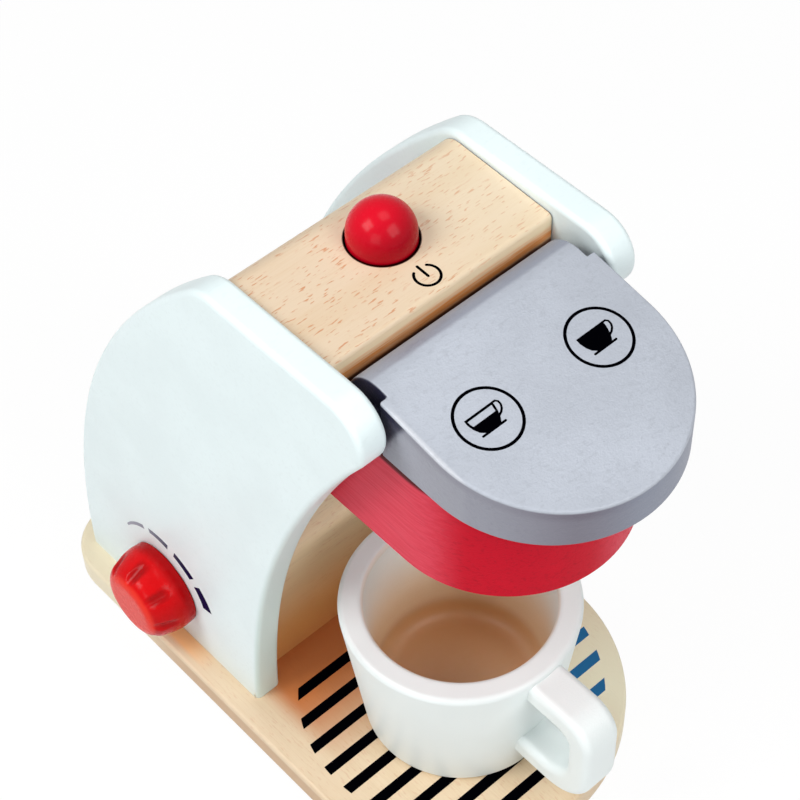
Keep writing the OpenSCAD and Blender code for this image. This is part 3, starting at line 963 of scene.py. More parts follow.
def knob_low_shade(finish):
    """Painted shade: 0 on the knob's upper lands, 1 low down, by the panel and in the flutes."""
    rise = knob_rise(finish)
    up = finish.z - KNOB_AXIS.z / MM
    below = up.fade(1, 13) * 0.48
    foot = rise.fade(1.5, 5.5) * 0.75
    turn = up.math("ARCTAN2", finish.y - KNOB_AXIS.y / MM) * bpy.context.scene.toy_small.flutes
    flute = turn.math("COSINE").smooth(-0.2, 0.9) * rise.smooth(4, 8) * rise.fade(10.5, 13.4)
    return below.most(foot).most(flute * 0.75)


def knob_end_sheen(finish):
    """Painted reflection: 1 on the knob's flat end."""
    length = bpy.context.scene.toy_small.knob_len / MM
    return knob_rise(finish).smooth(length - 1.6, length - 0.5) * 0.7


def base_depth(finish):
    """Depth below the base board's top."""
    return BOX["base_board"][1].z / MM - finish.z


def base_bay_shade(finish):
    """Painted shade: 1 on the base board's top between the panels, before the rear block."""
    inner, outer = (corner.x / MM for corner in BOX["side_panel_right"])
    within = (outer - abs(finish.x)).smooth(0, outer - inner)
    before = (finish.y - BOX["rear_block"][0].y / MM).fade(0, 2)
    ahead = finish.share("y", "base_board").smooth(0.27, 0.456)
    return within * before * ahead * base_depth(finish).fade(0.2, 0.6)


def base_front_light(finish):
    """Painted light: 1 on the base board's right front, drawn paler against the machine's shadow, and
    at its back.
    """
    right = finish.share("x", "base_board").smooth(0.575, 0.855)
    back = finish.share("y", "base_board")
    return (right * back.fade(0.088, 0.363)).most(back.smooth(0.665, 0.885) * 0.7)


def base_side(finish):
    """1 on the base board's left side, below its rounded edge."""
    edge = finish.x - BOX["base_board"][0].x / MM
    front = finish.share("y", "base_board").fade(0.61, 0.8)
    return base_depth(finish).smooth(1.2, 2.4) * edge.fade(2.5, 5.5) * front * 0.9


def base_knob_shadow(finish):
    """Painted shadow: 1 on the base board's top under the knob."""
    edge = finish.x - BOX["base_board"][0].x / MM
    outside = BOX["side_panel_left"][0].x / MM - finish.x
    near = abs(finish.y - KNOB_AXIS.y / MM).fade(8, 24)
    strip = edge.smooth(1.5, 3.5) * outside.smooth(-0.2, 0.5)
    return strip * near * base_depth(finish).fade(0.2, 0.6)


def rear_foot_shade(finish):
    """Painted shade: 1 at the foot of the rear block's front face."""
    low = BOX["rear_block"][0] / MM
    return (finish.z - low.z).fade(6, 48) * (finish.y - low.y).fade(1, 4)


def panel_front_shade(finish):
    """Painted shade: 1 on the panels' hollow front edges, less towards the nose."""
    body = bpy.context.scene.toy_body
    centre = front_centre(body) / MM
    y = finish.y - centre.x
    z = finish.z - centre.y
    off = (y * y + z * z) ** 0.5 - body.front_arc / MM
    return off.fade(0.3, 1.7) * finish.share("z", "side_panel_left").fade(0.06, 0.865)


def lid_edge(finish):
    """Painted shade: 1 on the lid's sides just below its sloping top, a little less below."""
    body = bpy.context.scene.toy_body
    crest = lid_crest(body) / MM
    back = finish.y - crest.y
    depth = crest.z + back * math.tan(body.lid_slope) - finish.z
    before = 1 - back.smooth(-1.6, -0.2) * 0.5
    return (depth.smooth(0.5, 1.1) - depth.smooth(1.6, 4.5) * 0.14) * before


def lid_top_right_shade(finish):
    """Painted shade: 0 on the left of the lid, more to the right."""
    return finish.share("x", "lid").smooth(0.5, 0.98) * 0.2


def lid_side_shade(finish):
    """Painted shade: 1 on the lid's front, a little less on its left side."""
    return lid_edge(finish) * (0.64 + finish.share("x", "lid").smooth(0, 0.245) * 0.36)


def lid_right_shade(finish):
    """Painted shade: 1 on the lid's right side."""
    return lid_edge(finish) * finish.share("x", "lid").smooth(0.217, 0.5) * 0.55


def lid_rim_highlight(finish):
    """Painted highlight: 1 on the top's edge along the lid's left side."""
    inward = finish.x - BOX["lid"][0].x / MM
    shoulder = (HINGE.y - bpy.context.scene.toy_body.tongue) / MM
    rim = inward.fade(0.7, 1.4) * finish.y.fade(shoulder - 6, shoulder - 1)
    return rim * (1 - lid_edge(finish)) * 0.34


def lid_gap_shadow(finish):
    """Painted shadow: 1 on the lid's tongue and on its sides where they meet the panels."""
    body = bpy.context.scene.toy_body
    half = BOX["lid"][1].x / MM
    tongue_half = body.tongue_half / MM
    shoulder = (HINGE.y - body.tongue) / MM
    across = abs(finish.x)
    tongue = across.smooth(tongue_half - 0.5, tongue_half - 0.1)
    tongue = tongue * finish.y.smooth(shoulder - 0.2, shoulder + 0.2)
    slant = finish.y + (finish.z - HINGE.z / MM) * 0.6
    side = slant.smooth(shoulder - 5.4, shoulder - 3.2) * across.smooth(half - 1.5, half - 0.5)
    return tongue.most(lid_edge(finish) * side)


def head_side_sheen(finish):
    """Painted reflection: 1 on the brew head's sides and right of its nose, in streaks."""
    back = finish.share("y", "brew_head")
    right = finish.share("x", "brew_head")
    sides = back.smooth(0.17, 0.3) * back.fade(0.5, 0.75) * 0.75
    nose = right.smooth(0.432, 0.608) - right.smooth(0.716, 0.905) * 0.5
    streaks = finish.noise(along("y", 0.08, 1.4), 2, 0.6).smooth(0.3, 0.7)
    return sides.most(nose * 0.65) * (0.7 + streaks * 0.3)


def head_brim_shadow(finish):
    """Painted shadow: 1 at the top edge of the brew head, under the lid and behind its nose."""
    fall = (HINGE.y / MM - finish.y) * math.tan(bpy.context.scene.toy_body.lid_foot)
    depth = BOX["brew_head"][1].z / MM - fall - finish.z
    return depth.fade(1.6, 3.2) * finish.share("y", "brew_head").smooth(0.015, 0.2)


def stripes_out_of_shade(finish):
    """0 on the stripes' left, where their black stands for painted shade, 1 at their right end, where
    their blue shows.
    """
    return finish.share("x", "base_board").smooth(0.5, 0.743)


def scale_thin(finish):
    """0 at the knob scale's wide end, 1 at its thin end."""
    return finish.share("y", "knob").smooth(0.02, 1.19)


FINISHES = {}


def mix_finishes(tones, small):
    """Makes every finish of the toy, by name."""

    def beech(name, plain, deep, grain, flecks, *zones):
        return wood(name, plain, deep, tones.fleck, grain, flecks, zones=zones)

    def birch(name, grain, *zones):
        return wood(name, tones.birch, scaled(tones.birch, 0.8), tones.fleck, grain, 0.4, 0, zones)

    rear, grey, red = tones.shade_wood, tones.grey, tones.red_stain
    button, knob = tones.button, tones.knob
    made = {
        "beech": beech(
            "beech", tones.beech, tones.beech_deep, "x", 1.0,
            # Painted light on the top block's right and on its front face's lip. Lower on the front
            # face, a darker streaked tone with painted shade from the lid. Painted shade in the gap
            # above the lid and in the button's hole, and dark joints at the block's ends.
            (tones.painted_light_wood, block_right_light), (tones.lip_light_wood, block_lip_light),
            (tones.end_wood_and_shade, block_front_tone_and_shade), (tones.seam, block_joints_and_gap_shade), (tones.seam, block_hole_shade),
        ),
        "beech_base": beech(
            "beech_base", tones.base_wood, tones.beech_deep, "y", 0.25,
            # Painted light at the base board's right front and back, painted shade between the
            # panels, and a painted shadow under the knob.
            (tones.painted_light_wood, base_front_light), (tones.bay_shade_wood, base_bay_shade),
            (tones.knob_shadow_wood, base_knob_shadow), (tones.side_wood, base_side),
        ),
        "beech_rear": beech(
            # Painted shade at the foot of the rear block's front.
            "beech_rear", rear, scaled(rear, 0.75), "x", 0.3, (tones.bay_back_shade, rear_foot_shade)
        ),
        "birch": birch("birch", "x"),
        # Painted shade on the rod's ends in the gaps beside the lid.
        "birch_rod": birch("birch_rod", "x", (tones.grey_gap_shadow, rod_gap_shade)),
        "birch_upright": birch("birch_upright", "y"),
        "white": paint(
            # Painted shade on the panels' front edges.
            "white_paint", tones.white, scaled(tones.white, 0.94), [(tones.white_shaded_edge, panel_front_shade)]
        ),
        "grey": paint(
            "grey_paint", grey, scaled(grey, 0.84),
            [
                # Painted shade on the lid's top to the right and on its front and sides, a painted
                # highlight along its left top edge, and painted shadow by the panels.
                (scaled(grey, 0.5), lid_top_right_shade), (tones.grey_side_shade, lid_side_shade),
                (tones.grey_right_shade, lid_right_shade), (tones.grey_rim_highlight, lid_rim_highlight), (tones.grey_gap_shadow, lid_gap_shadow),
            ],
            rough=0.4, stipple=0.25,
        ),
        "stain": stain(
            "red_stain", red, tones.red_deep, scaled(red, 1.3),
            # Painted reflection on the head's sides, and a painted shadow under the lid.
            [(tones.red_sheen, head_side_sheen), (scaled(tones.red_deep, 0.3), head_brim_shadow)],
        ),
        "button": lacquer(
            "button_lacquer", button, scaled(button, 0.75),
            # Painted shade low on the dome's front, and painted shadow on the stem down in its hole.
            [(scaled(button, 0.45), button_low_shade), (scaled(button, 0.04), button_stem_shadow)],
        ),
        "knob": lacquer(
            "knob_lacquer", knob, scaled(knob, 0.75),
            # Painted shade low on the knob and in its flutes, and a painted reflection on its flat
            # end.
            [(scaled(knob, 0.45), knob_low_shade), (tones.knob_end, knob_end_sheen)],
        ),
        "cup": cup_paint(
            "cup_paint", tones.cup, scaled(tones.cup, 0.94), tones.cup_wood, tones.cup_deep_and_shade, small
        ),
        "steel": metal("steel", tones.steel, scaled(tones.steel, 0.7)),
        "felt": cloth("felt", tones.felt, scaled(tones.felt, 1.8)),
        "ink": ink("ink", tones.ink),
        # Painted shade: the stripes are black on the left, in shade, and blue at their right.
        "stripe_ink": ink("stripe_ink", tones.ink, [(tones.ink_blue, stripes_out_of_shade)]),
        "scale_ink": ink("scale_ink", tones.ink_scale, [(tones.ink_faint, scale_thin)]),
    }
    FINISHES.update(made)


# ---- Geometry node trees ----

class Tree(Nodes):
    """A geometry node tree with named inputs, run on an empty mesh."""

    def __init__(self, name):
        super().__init__(bpy.data.node_groups.new(name, "GeometryNodeTree"))
        self.tree.interface.new_socket("Geometry", in_out="OUTPUT", socket_type="NodeSocketGeometry")
        self.values = {}
        self.source = self.node("NodeGroupInput")
        self.end = self.node("NodeGroupOutput")

    def input(self, name, kind, value):
        """A named input, with the value that the modifier sets."""
        socket = self.tree.interface.new_socket(name, in_out="INPUT", socket_type=kind)
        self.values[socket.identifier] = value
        return self.pick(self.source.outputs, socket.identifier)

    def number(self, name, value):
        """A named number, whole or not."""
        kind = "NodeSocketInt" if isinstance(value, int) else "NodeSocketFloat"
        return Value(self, self.input(name, kind, value))

    def vector(self, x=0.0, y=0.0, z=0.0):
        return self.result("ShaderNodeCombineXYZ", None, {"X": x, "Y": y, "Z": z})

    def build(self, name, geometry, finish):
        """Ends the tree and runs it, and returns the result as a plain mesh."""
        material = self.input("Material", "NodeSocketMaterial", finish)
        real = self.result("GeometryNodeRealizeInstances", None, {"Geometry": geometry})
        painted = {"Geometry": real, "Material": material}
        self.feed(self.end.inputs[0], self.result("GeometryNodeSetMaterial", None, painted))
        piece = bpy.data.objects.new(name, bpy.data.meshes.new(name))
        step = piece.modifiers.new("nodes", "NODES")
        step.node_group = self.tree
        for key, value in self.values.items():
            step[key] = value
        bpy.context.scene.collection.objects.link(piece)
        return settle(piece)


def stripe_tree(sizes, finish):
    """Bars across the base board, trimmed to a round field."""
    tree = Tree("Stripes")
    height = tree.number("Ink", sizes.ink)
    width = tree.number("Width", sizes.stripe_w)
    radius = tree.number("Field radius", sizes.stripe_r)
    centre = tree.number("Field centre", -sizes.stripe_field)
    first = tree.number("First stripe", -sizes.stripe_first)
    pitch = tree.number("Pitch", sizes.stripe_pitch)
    level = tree.number("Level", BOX["base_board"][1].z)
    count = tree.number("Stripes", sizes.stripes)
    line = tree.result(
        "GeometryNodeMeshLine",
        None,
        {
            "Count": count,
            "Start Location": tree.vector(y=first, z=level),
            "Offset": tree.vector(y=pitch * -1),
        },
    )
    size = tree.vector(radius * 2.2, width, height * 2)
    bar = tree.result("GeometryNodeMeshCube", None, {"Size": size})
    bars = tree.result("GeometryNodeInstanceOnPoints", None, {"Points": line, "Instance": bar})
    disc = tree.result(
        "GeometryNodeMeshCylinder",
        None,
        {"Vertices": 128, "Radius": radius, "Depth": height * 8},
    )
    field = tree.result(
        "GeometryNodeTransform",
        None,
        {"Geometry": disc, "Translation": tree.vector(y=centre, z=level)},
    )
    trimmed = tree.node("GeometryNodeMeshBoolean", {"operation": "INTERSECT", "solver": "EXACT"})
    tree.feed(
        trimmed.inputs["Mesh 2"],
        tree.result("GeometryNodeRealizeInstances", None, {"Geometry": bars}),
    )
    tree.feed(trimmed.inputs["Mesh 2"], field)
    return tree.build("base_stripes", trimmed.outputs["Mesh"], finish)


def scale_tree(sizes, finish):
    """Curved marks round the knob's axis, each wider than the last."""
    faces = 24  # of one mark and its gap
    tree = Tree("Knob scale")
    start = tree.number("Start", sizes.scale_from)
    step = tree.number("Step", sizes.scale_step)
    fill = tree.number("Fill", sizes.scale_fill)
    marks = tree.number("Marks", sizes.scale_marks)
    radius = tree.number("Radius", sizes.scale_r)
    wide = tree.number("Wide end", sizes.scale_wide)
    thin = tree.number("Thin end", sizes.scale_thin)
    height = tree.number("Ink", sizes.ink)
    level = tree.number("Level", BOX["side_panel_left"][0].x)
    axis_y = tree.number("Axis Y", KNOB_AXIS.y)
    axis_z = tree.number("Axis Z", KNOB_AXIS.z)
    grid = tree.result(
        "GeometryNodeMeshGrid",
        None,
        {"Size X": 1.0, "Size Y": 1.0, "Vertices X": marks * faces + 1, "Vertices Y": 2},
    )
    place = tree.result("GeometryNodeInputPosition")
    parts = tree.node("ShaderNodeSeparateXYZ", None, {"Vector": place})
    share = Value(tree, parts.outputs["X"]) + 0.5
    turn = start - share * marks * step
    ends = {"Value": share, "To Min": wide, "To Max": thin}
    spread = Value(tree, tree.result("ShaderNodeMapRange", None, ends))
    reach = radius + Value(tree, parts.outputs["Y"]) * spread
    round_axis = tree.vector(
        level, axis_y + reach * turn.math("COSINE"), axis_z + reach * turn.math("SINE")
    )
    bent = tree.result(
        "GeometryNodeSetPosition", None, {"Geometry": grid, "Position": round_axis}
    )
    face = Value(tree, tree.result("GeometryNodeInputIndex"))
    within = ((face + 0.5) / faces).math("FRACT")
    last = face.math("GREATER_THAN", (marks - 1) * faces)
    gaps = tree.result(
        "FunctionNodeCompare",
        {"data_type": "FLOAT", "operation": "GREATER_THAN"},
        {"A": within - last, "B": fill},
    )
    kept = tree.result(
        "GeometryNodeDeleteGeometry", {"domain": "FACE"}, {"Geometry": bent, "Selection": gaps}
    )
    raised = tree.result(
        "GeometryNodeExtrudeMesh",
        {"mode": "FACES"},
        {
            "Mesh": kept,
            "Offset": tree.vector(-1.0),
            "Offset Scale": height,
            "Individual": False,
        },
    )
    return tree.build("knob_scale", raised, finish)


# ---- Pieces ----

class MakeFinishes(Operator):
    """Mix the finishes of the woods, paints, metals and inks"""

    bl_idname = "toy.finishes"
    bl_label = "Finishes"

    def execute(self, context):
        mix_finishes(context.scene.toy_colours, context.scene.toy_small)
        return {"FINISHED"}


class AddBaseBoard(Operator):
    """Add the round-nosed base board with its screw holes"""

    bl_idname = "toy.base_board"
    bl_label = "Base board"

    def execute(self, context):
        body, small = context.scene.toy_body, context.scene.toy_small
        low, high = BOX["base_board"]
        corner = body.base_corner
        centre = (high.x - corner, high.y - corner)
        outline = half_round(low, high.x) + mirrored(arc(centre, corner, 0, math.pi / 2, 16))
        board = slab("base_board_piece", outline, low.z, high.z, body.base_edge, lying)
        screw_foot = BOX["base_screws"][0].z
        sinks = [
            pin(small.screw_head, low.z - MM, screw_foot, upright(*place))
            for place in screw_places(small)
        ]
        cut(board, *copies_of("base_screws"), *sinks)
        dress(board, FINISHES["beech_base"], "frame", ["base_board"])
        return {"FINISHED"}


class AddSidePanels(Operator):
    """Add the two crescent side panels"""

    bl_idname = "toy.side_panels"
    bl_label = "Side panels"

    @staticmethod
    def outline(body):
        """Four tangent arcs: hollow front edge, nose, back corner, bowed back."""
        foot, top = (corner.z for corner in BOX["side_panel_right"])
        nose, front = nose_centre(body), front_centre(body)
        back = Vector((body.back_foot - body.back_arc, foot))
        corner_z = top - body.back_corner
        reach = body.back_arc - body.back_corner
        corner_y = back.x + math.sqrt(reach**2 - (corner_z - foot) ** 2)
        corner = Vector((corner_y, corner_z))
        foot_turn = math.asin((foot - front.y) / body.front_arc)
        nose_turn = bearing(front, nose)
        corner_turn = bearing(back, corner)
        return (
            arc(front, body.front_arc, foot_turn, nose_turn, 60)
            + arc(nose, body.nose_r, nose_turn + math.pi, math.pi / 2, 28)
            + arc(corner, body.back_corner, math.pi / 2, corner_turn, 20)
            + arc(back, body.back_arc, corner_turn, 0, 60)
        )

    @staticmethod
    def knob_seat(small):
        """The axle's bore and the washer's recess in the left panel."""
        low, high = (corner.x for corner in BOX["side_panel_left"])
        axis = KNOB_AXIS.y, KNOB_AXIS.z
        return [
            cross_pin(small.axle_bore, low - MM, high + MM, *axis),
            cross_pin(small.washer_seat, low - MM, low + small.washer_deep, *axis),
        ]

    def execute(self, context):
        body, small = context.scene.toy_body, context.scene.toy_small
        inside = ("hinge_rod", "block_dowels", "head_dowels", "rear_dowels", "base_screws")
        for side in SIDES:
            node = f"side_panel_{side}"
            low, high = BOX[node]
            outline = self.outline(body)
            edge = body.panel_edge
            panel = slab(f"{node}_piece", outline, low.x, high.x, edge, standing, foot=low.z)
            cutters = copies_of(*inside)
            if side == "left":
                cutters += self.knob_seat(small)
            cut(panel, *cutters)
            dress(panel, FINISHES["white"], "frame", [node])
        return {"FINISHED"}


class AddBlocks(Operator):
    """Add the top block and the rear block"""

    bl_idname = "toy.blocks"
    bl_label = "Blocks"

    def execute(self, context):
        body, small = context.scene.toy_body, context.scene.toy_small
        self.top_block(body, small)
        self.rear_block(body, small)
        return {"FINISHED"}

    @staticmethod
    def plank(name, node, back, front, back_r, front_r, ease):
        """A block across the toy, from the levels of its back and front top
        edges and the radii that round them."""
        low, high = BOX[node]
        corners = [
            (low.y, low.z, 0), (high.y, low.z, 0), (high.y, back, back_r), (low.y, front, front_r)
        ]
        return slab(name, rounded(corners), low.x, high.x, ease, standing)

    def top_block(self, body, small):
        low, high = BOX["top_block"]
        back = block_top(body)
        front = block_level(body, low.y)
        rounds = body.block_back_r, body.block_front_r
        block = self.plank("top_block_piece", "top_block", back, front, *rounds, body.block_ease)
        place = upright(0, -small.button_y)
        hole = small.button_r + small.button_gap
        sink = small.flange_r + small.button_gap
        flange_top = BOX["button"][0].z + small.spigot_len + small.flange_th
        cut(
            block,
            pin(hole, low.z - MM, high.z + MM, place),
            pin(sink, low.z - MM, flange_top + small.button_gap / 2, place),
            *copies_of("block_dowels"),
        )
        dress(block, FINISHES["beech"], "frame", ["top_block"])

    def rear_block(self, body, small):
        low, high = BOX["rear_block"]
        edge = body.rear_edge
        ease = body.block_ease
        rear = self.plank("rear_block_piece", "rear_block", high.z, high.z, edge, edge, ease)
        collar_end = low.x + small.collar_deep
        pocket = cross_pin(small.collar_seat, low.x - MM, collar_end, KNOB_AXIS.y, KNOB_AXIS.z)
        cut(rear, pocket, *copies_of("rear_dowels", "base_screws"))
        dress(rear, FINISHES["beech_rear"], "frame", ["rear_block"])


class AddBrewHead(Operator):
    """Add the stained brew head with its pod well and outlet"""

    bl_idname = "toy.brew_head"
    bl_label = "Brew head"

    def execute(self, context):
        body, small = context.scene.toy_body, context.scene.toy_small
        low, high = BOX["brew_head"]
        shoulder = -body.shoulder
        right = [(body.head_r, shoulder), (high.x, shoulder), (high.x, high.y)]
        outline = half_round(low, body.head_r) + mirrored([Vector(point) for point in right])
        head = slab("brew_head_piece", outline, low.z, high.z, body.head_edge, lying)
        well = upright(0, -body.well_y)
        button = upright(0, -small.button_y)
        cut(
            head,
            pin(body.well_r, high.z - body.well_depth, high.z + MM, well),
            pin(body.outlet_r, low.z - MM, high.z, well),
            pin(small.pocket_r, high.z - small.pocket_depth, high.z + MM, button),
            self.above_top(body),
            *copies_of("head_dowels"),
        )
        dress(head, FINISHES["stain"], "frame", ["brew_head"])
        return {"FINISHED"}

    @staticmethod
    def above_top(body):
        """What lies over the head's top where it falls towards the front."""
        low, high = BOX["brew_head"]
        front = low.y - MM
        over = high.z + MM
        side = [
            Vector((HINGE.y, high.z)),
            Vector((HINGE.y, over)),
            Vector((front, over)),
            Vector((front, high.z - (HINGE.y - front) * math.tan(body.lid_foot))),
        ]
        return prism(side, low.x - MM, high.x + MM, standing)


class AddLid(Operator):
    """Add the wedge lid on its hinge rod"""

    bl_idname = "toy.lid"
    bl_label = "Lid"

    def execute(self, context):
        body = context.scene.toy_body
        low, high = BOX["lid"]
        shoulder = HINGE.y - body.tongue
        back = high.y + MM
        right = [(high.x, shoulder), (body.tongue_half, shoulder), (body.tongue_half, back)]
        outline = half_round(low, high.x) + mirrored([Vector(point) for point in right])
        front = low.y - MM
        foot = low.z - (HINGE.y - front) * math.tan(body.lid_foot)
        lid = prism(outline, foot - MM, high.z + MM, lying, "lid_piece")
        combine(lid, [self.wedge(body, front, foot)], "INTERSECT")
        bevel = lid.modifiers.new("edges", "BEVEL")
        bevel.width = body.lid_edge
        bevel.segments = 4
        bevel.limit_method = "ANGLE"
        bevel.angle_limit = math.radians(40)
        settle(lid)
        cut(lid, cross_pin(body.rod_bore, low.x - MM, high.x + MM, HINGE.y, HINGE.z))
        dress(lid, FINISHES["grey"], "lid", ["lid"])
        return {"FINISHED"}

    @staticmethod
    def wedge(body, front, foot):
        """The lid's side view: a round back about the hinge, and two sloping faces."""
        low, high = BOX["lid"]
        axis = Vector((HINGE.y, HINGE.z))
        barrel = arc(axis, body.barrel_r, -math.pi / 2, math.pi / 2 + body.lid_slope, 40)
        crest = barrel[-1]
        top = crest.y - (crest.x - front) * math.tan(body.lid_slope)
        side = barrel + [Vector((front, top)), Vector((front, foot))]
        return prism(side, low.x - MM, high.x + MM, standing)


class AddButton(Operator):
    """Add the domed push button"""

    bl_idname = "toy.button"
    bl_label = "Push button"

    def execute(self, context):
        small = context.scene.toy_small
        low, high = BOX["button"]
        flange = low.z + small.spigot_len
        flange_top = flange + small.flange_th
        ease = small.button_ease
        profile = rounded(
            [
                (0, low.z, 0),
                (small.spigot_r, low.z, ease),
                (small.spigot_r, flange, 0),
                (small.flange_r, flange, ease),
                (small.flange_r, flange_top, ease),
                (small.button_r, flange_top, 0),
            ],
            4,
        )
        profile += arc((0, high.z - small.button_r), small.button_r, 0, math.pi / 2, 40)
        button = lathe("button_piece", profile, upright(0, -small.button_y), 144)
        dress(button, FINISHES["button"], "button", ["button"], sharp=50)
        return {"FINISHED"}


class AddKnob(Operator):
    """Add the fluted knob"""

    bl_idname = "toy.knob"
    bl_label = "Knob"

    def execute(self, context):
        small = context.scene.toy_small
        foot = BOX["knob"][1].x
        outline = rounded(
            [
                (0, 0, 0),
                (small.knob_r - small.knob_draw, 0, 0),
                (small.knob_r, small.knob_ring, small.knob_r),
                (small.knob_end, small.knob_len, small.knob_round),
                (0, small.knob_len, 0),
            ],
            14,
        )
        profile = self.resampled(outline, small.knob_step)
        fluted_len = small.knob_len - small.knob_ring
        span = 2 * math.pi / small.flutes
        lean = (small.knob_r - small.knob_end + small.flute_depth) / fluted_len

        def fluted(radius, height, turn):
            rise = height - small.knob_ring
            if rise < 0:
                return radius
            away = (turn + span / 2) % span - span / 2
            centre = small.knob_r + small.flute_r - rise * lean
            across = centre * math.sin(away)
            if abs(across) >= small.flute_r:
                return radius
            hollow = centre * math.cos(away) - math.sqrt(small.flute_r**2 - across**2)
            soft = small.flute_soft
            share = min(1.0, max(0.0, 0.5 + (radius - hollow) / (2 * soft)))
            return radius + (hollow - radius) * share - soft * share * (1 - share)

        def place(u, v, w):
            return Vector((foot - w, KNOB_AXIS.y - u, KNOB_AXIS.z + v))

        knob = lathe("knob_piece", profile, place, 24 * small.flutes, fluted)
        cut(knob, *copies_of("knob_axle"))
        dress(knob, FINISHES["knob"], "knob", ["knob"], sharp=60)
        return {"FINISHED"}

    @staticmethod
    def resampled(outline, step):
        """The outline with its long edges split to about a step."""
        points = []
        for here, after in zip(outline, outline[1:]):
            parts = max(1, round((after - here).length / step))
            points += [here.lerp(after, k / parts) for k in range(parts)]
        return points + [outline[-1]]


class AddCup(Operator):
    """Add the thick-walled cup and its handle"""

    bl_idname = "toy.cup"
    bl_label = "Cup"

    def execute(self, context):
        small = context.scene.toy_small
        self.cup(small)
        self.handle(small)
        return {"FINISHED"}

    @staticmethod
    def turned(name, profile, small):
        """A turned solid on the cup's axis."""
        return lathe(name, profile, upright(0, -small.cup_y), 160)

    def cup(self, small):
        low, high = (corner.z for corner in BOX["cup_body"])
        profile = rounded(
            [
                (0, low, 0),
                (small.cup_foot, low, small.cup_edge),
                (small.cup_rim, high, small.cup_edge),
                (small.cup_rim - small.cup_wall, high, small.cup_edge),
                (small.cup_inside, low + small.cup_floor, small.cup_bowl),
                (0, low + small.cup_floor, 0),
            ],
            10,
        )
        cup = self.turned("cup_body_piece", profile, small)
        cut(cup, *copies_of("handle_pegs"))
        dress(cup, FINISHES["cup"], "cup", ["cup_body"])

    def handle(self, small):
        """A plate with a finger hole, hollowed at its root to fit the cup."""
        low, high = (corner.z for corner in BOX["cup_body"])
        left, right = (corner.x for corner in BOX["cup_handle"])
        top = high - small.handle_drop
        bottom = top - small.handle_h
        root = -small.cup_y - small.cup_foot / 2
        reach = -small.cup_y - small.handle_reach
        band = small.handle_band
        inner = reach + band
        outline = rounded(
            [
                (root, bottom, 0),
                (reach, bottom, 1.8 * band),
                (reach, top, 1.2 * band),
                (root, top, 0),
                (root, top - band, 0),
                (inner, top - band, band / 2),
                (inner, bottom + band, band),
                (root, bottom + band, 0),
            ],
            14,
        )
        handle = slab("cup_handle_piece", outline, left, right, small.handle_edge, standing)
        cone = [(0, low), (small.cup_foot, low), (small.cup_rim, high), (0, high)]
        cut(handle, self.turned("cutter", cone, small), *copies_of("handle_pegs"))
        dress(handle, FINISHES["cup"], "cup", ["cup_handle"])


class AddScrews(Operator):
    """Add the base board's screws, with crossed slots in their heads"""

    bl_idname = "toy.screws"
    bl_label = "Screws"

    def execute(self, context):
        small = context.scene.toy_small
        low = BOX["base_screws"][0].z
        top = low + small.slot_deep
        arm, half = small.slot_reach, small.slot_width / 2
        quarter = [Vector((half, arm)), Vector((-half, arm)), Vector((-half, half))]
        turns = [Matrix.Rotation(k * math.pi / 2, 2) for k in range(4)]
        cross = [turn @ point for turn in turns for point in quarter]
        slots = [
            prism([at + point for point in cross], low - MM, top, lying)
            for at in screw_places(small)
        ]
        screws = copies_of("base_screws")[0]
        screws.name = "base_screws_piece"
        cut(screws, *slots)
        dress(screws, FINISHES["steel"], "frame", ["base_screws"])
        return {"FINISHED"}


class FinishInnerPieces(Operator):
    """Give the rod, axle, dowels and spring their finishes"""

    bl_idname = "toy.inner_pieces"
    bl_label = "Inner pieces"

    inner = {
        "hinge_rod": "birch_rod",
        "knob_axle": "birch",
        "knob_collar": "birch",
        "block_dowels": "birch",
        "head_dowels": "birch",
        "rear_dowels": "birch",
        "handle_pegs": "birch_upright",
        "knob_washer": "felt",
        "button_spring": "steel",
    }

    def execute(self, context):
        for name, finish in self.inner.items():
            node = frame["nodes"][name]
            node.data.materials.clear()
            node.data.materials.append(FINISHES[finish])
        return {"FINISHED"}


# ---- Prints ----

def on_block(body):
    """Placing of a print on the top block, from plan coordinates."""
    return lambda u, v, w: Vector((u, v, block_level(body, v) + w))


def on_lid(body, prints, x):
    """Placing of a sign on the lid's sloping top, about the sign's middle."""
    slope = body.lid_slope
    crest = lid_crest(body)
    uphill = Vector((0, math.cos(slope), math.sin(slope)))
    outward = Vector((0, -math.sin(slope), math.cos(slope)))
    middle = crest + uphill * (-prints.sign_y - crest.y) / math.cos(slope)
    return lambda u, v, w: middle + Vector((x + u, 0, 0)) + uphill * v + outward * w


def print_on(name, body, outlines, place, height, holes=()):
    """Prints ink of a height on a surface, from outlines that are joined."""
    layers = [prism(outline, -height, height, place) for outline in outlines]
    sign = combine(layers[0], layers[1:], "UNION")
    sign.name = name
    cut(sign, *[prism(hole, -3 * height, 3 * height, place) for hole in holes])
    dress(sign, FINISHES["ink"], body)


def ring(radius, line):
    """A ring's line, as two halves that overlap a little."""
    half = math.pi * 1.02
    return [ribbon(arc((0, 0), radius, start, start + half, 64), line) for start in (0, math.pi)]


def power_sign(prints):
    """Outlines of the power sign: a ring that is open at its top, and a bar."""
    line = prints.power_line
    start = math.pi / 2 + prints.power_open
    end = math.pi * 5 / 2 - prints.power_open
    middle = Vector((0, -prints.power_y))
    bar = [middle + Vector((0, prints.power_top)), middle + Vector((0, prints.power_foot))]
    return [ribbon(arc(middle, prints.power_r, start, end, 72), line), ribbon(bar, line)]


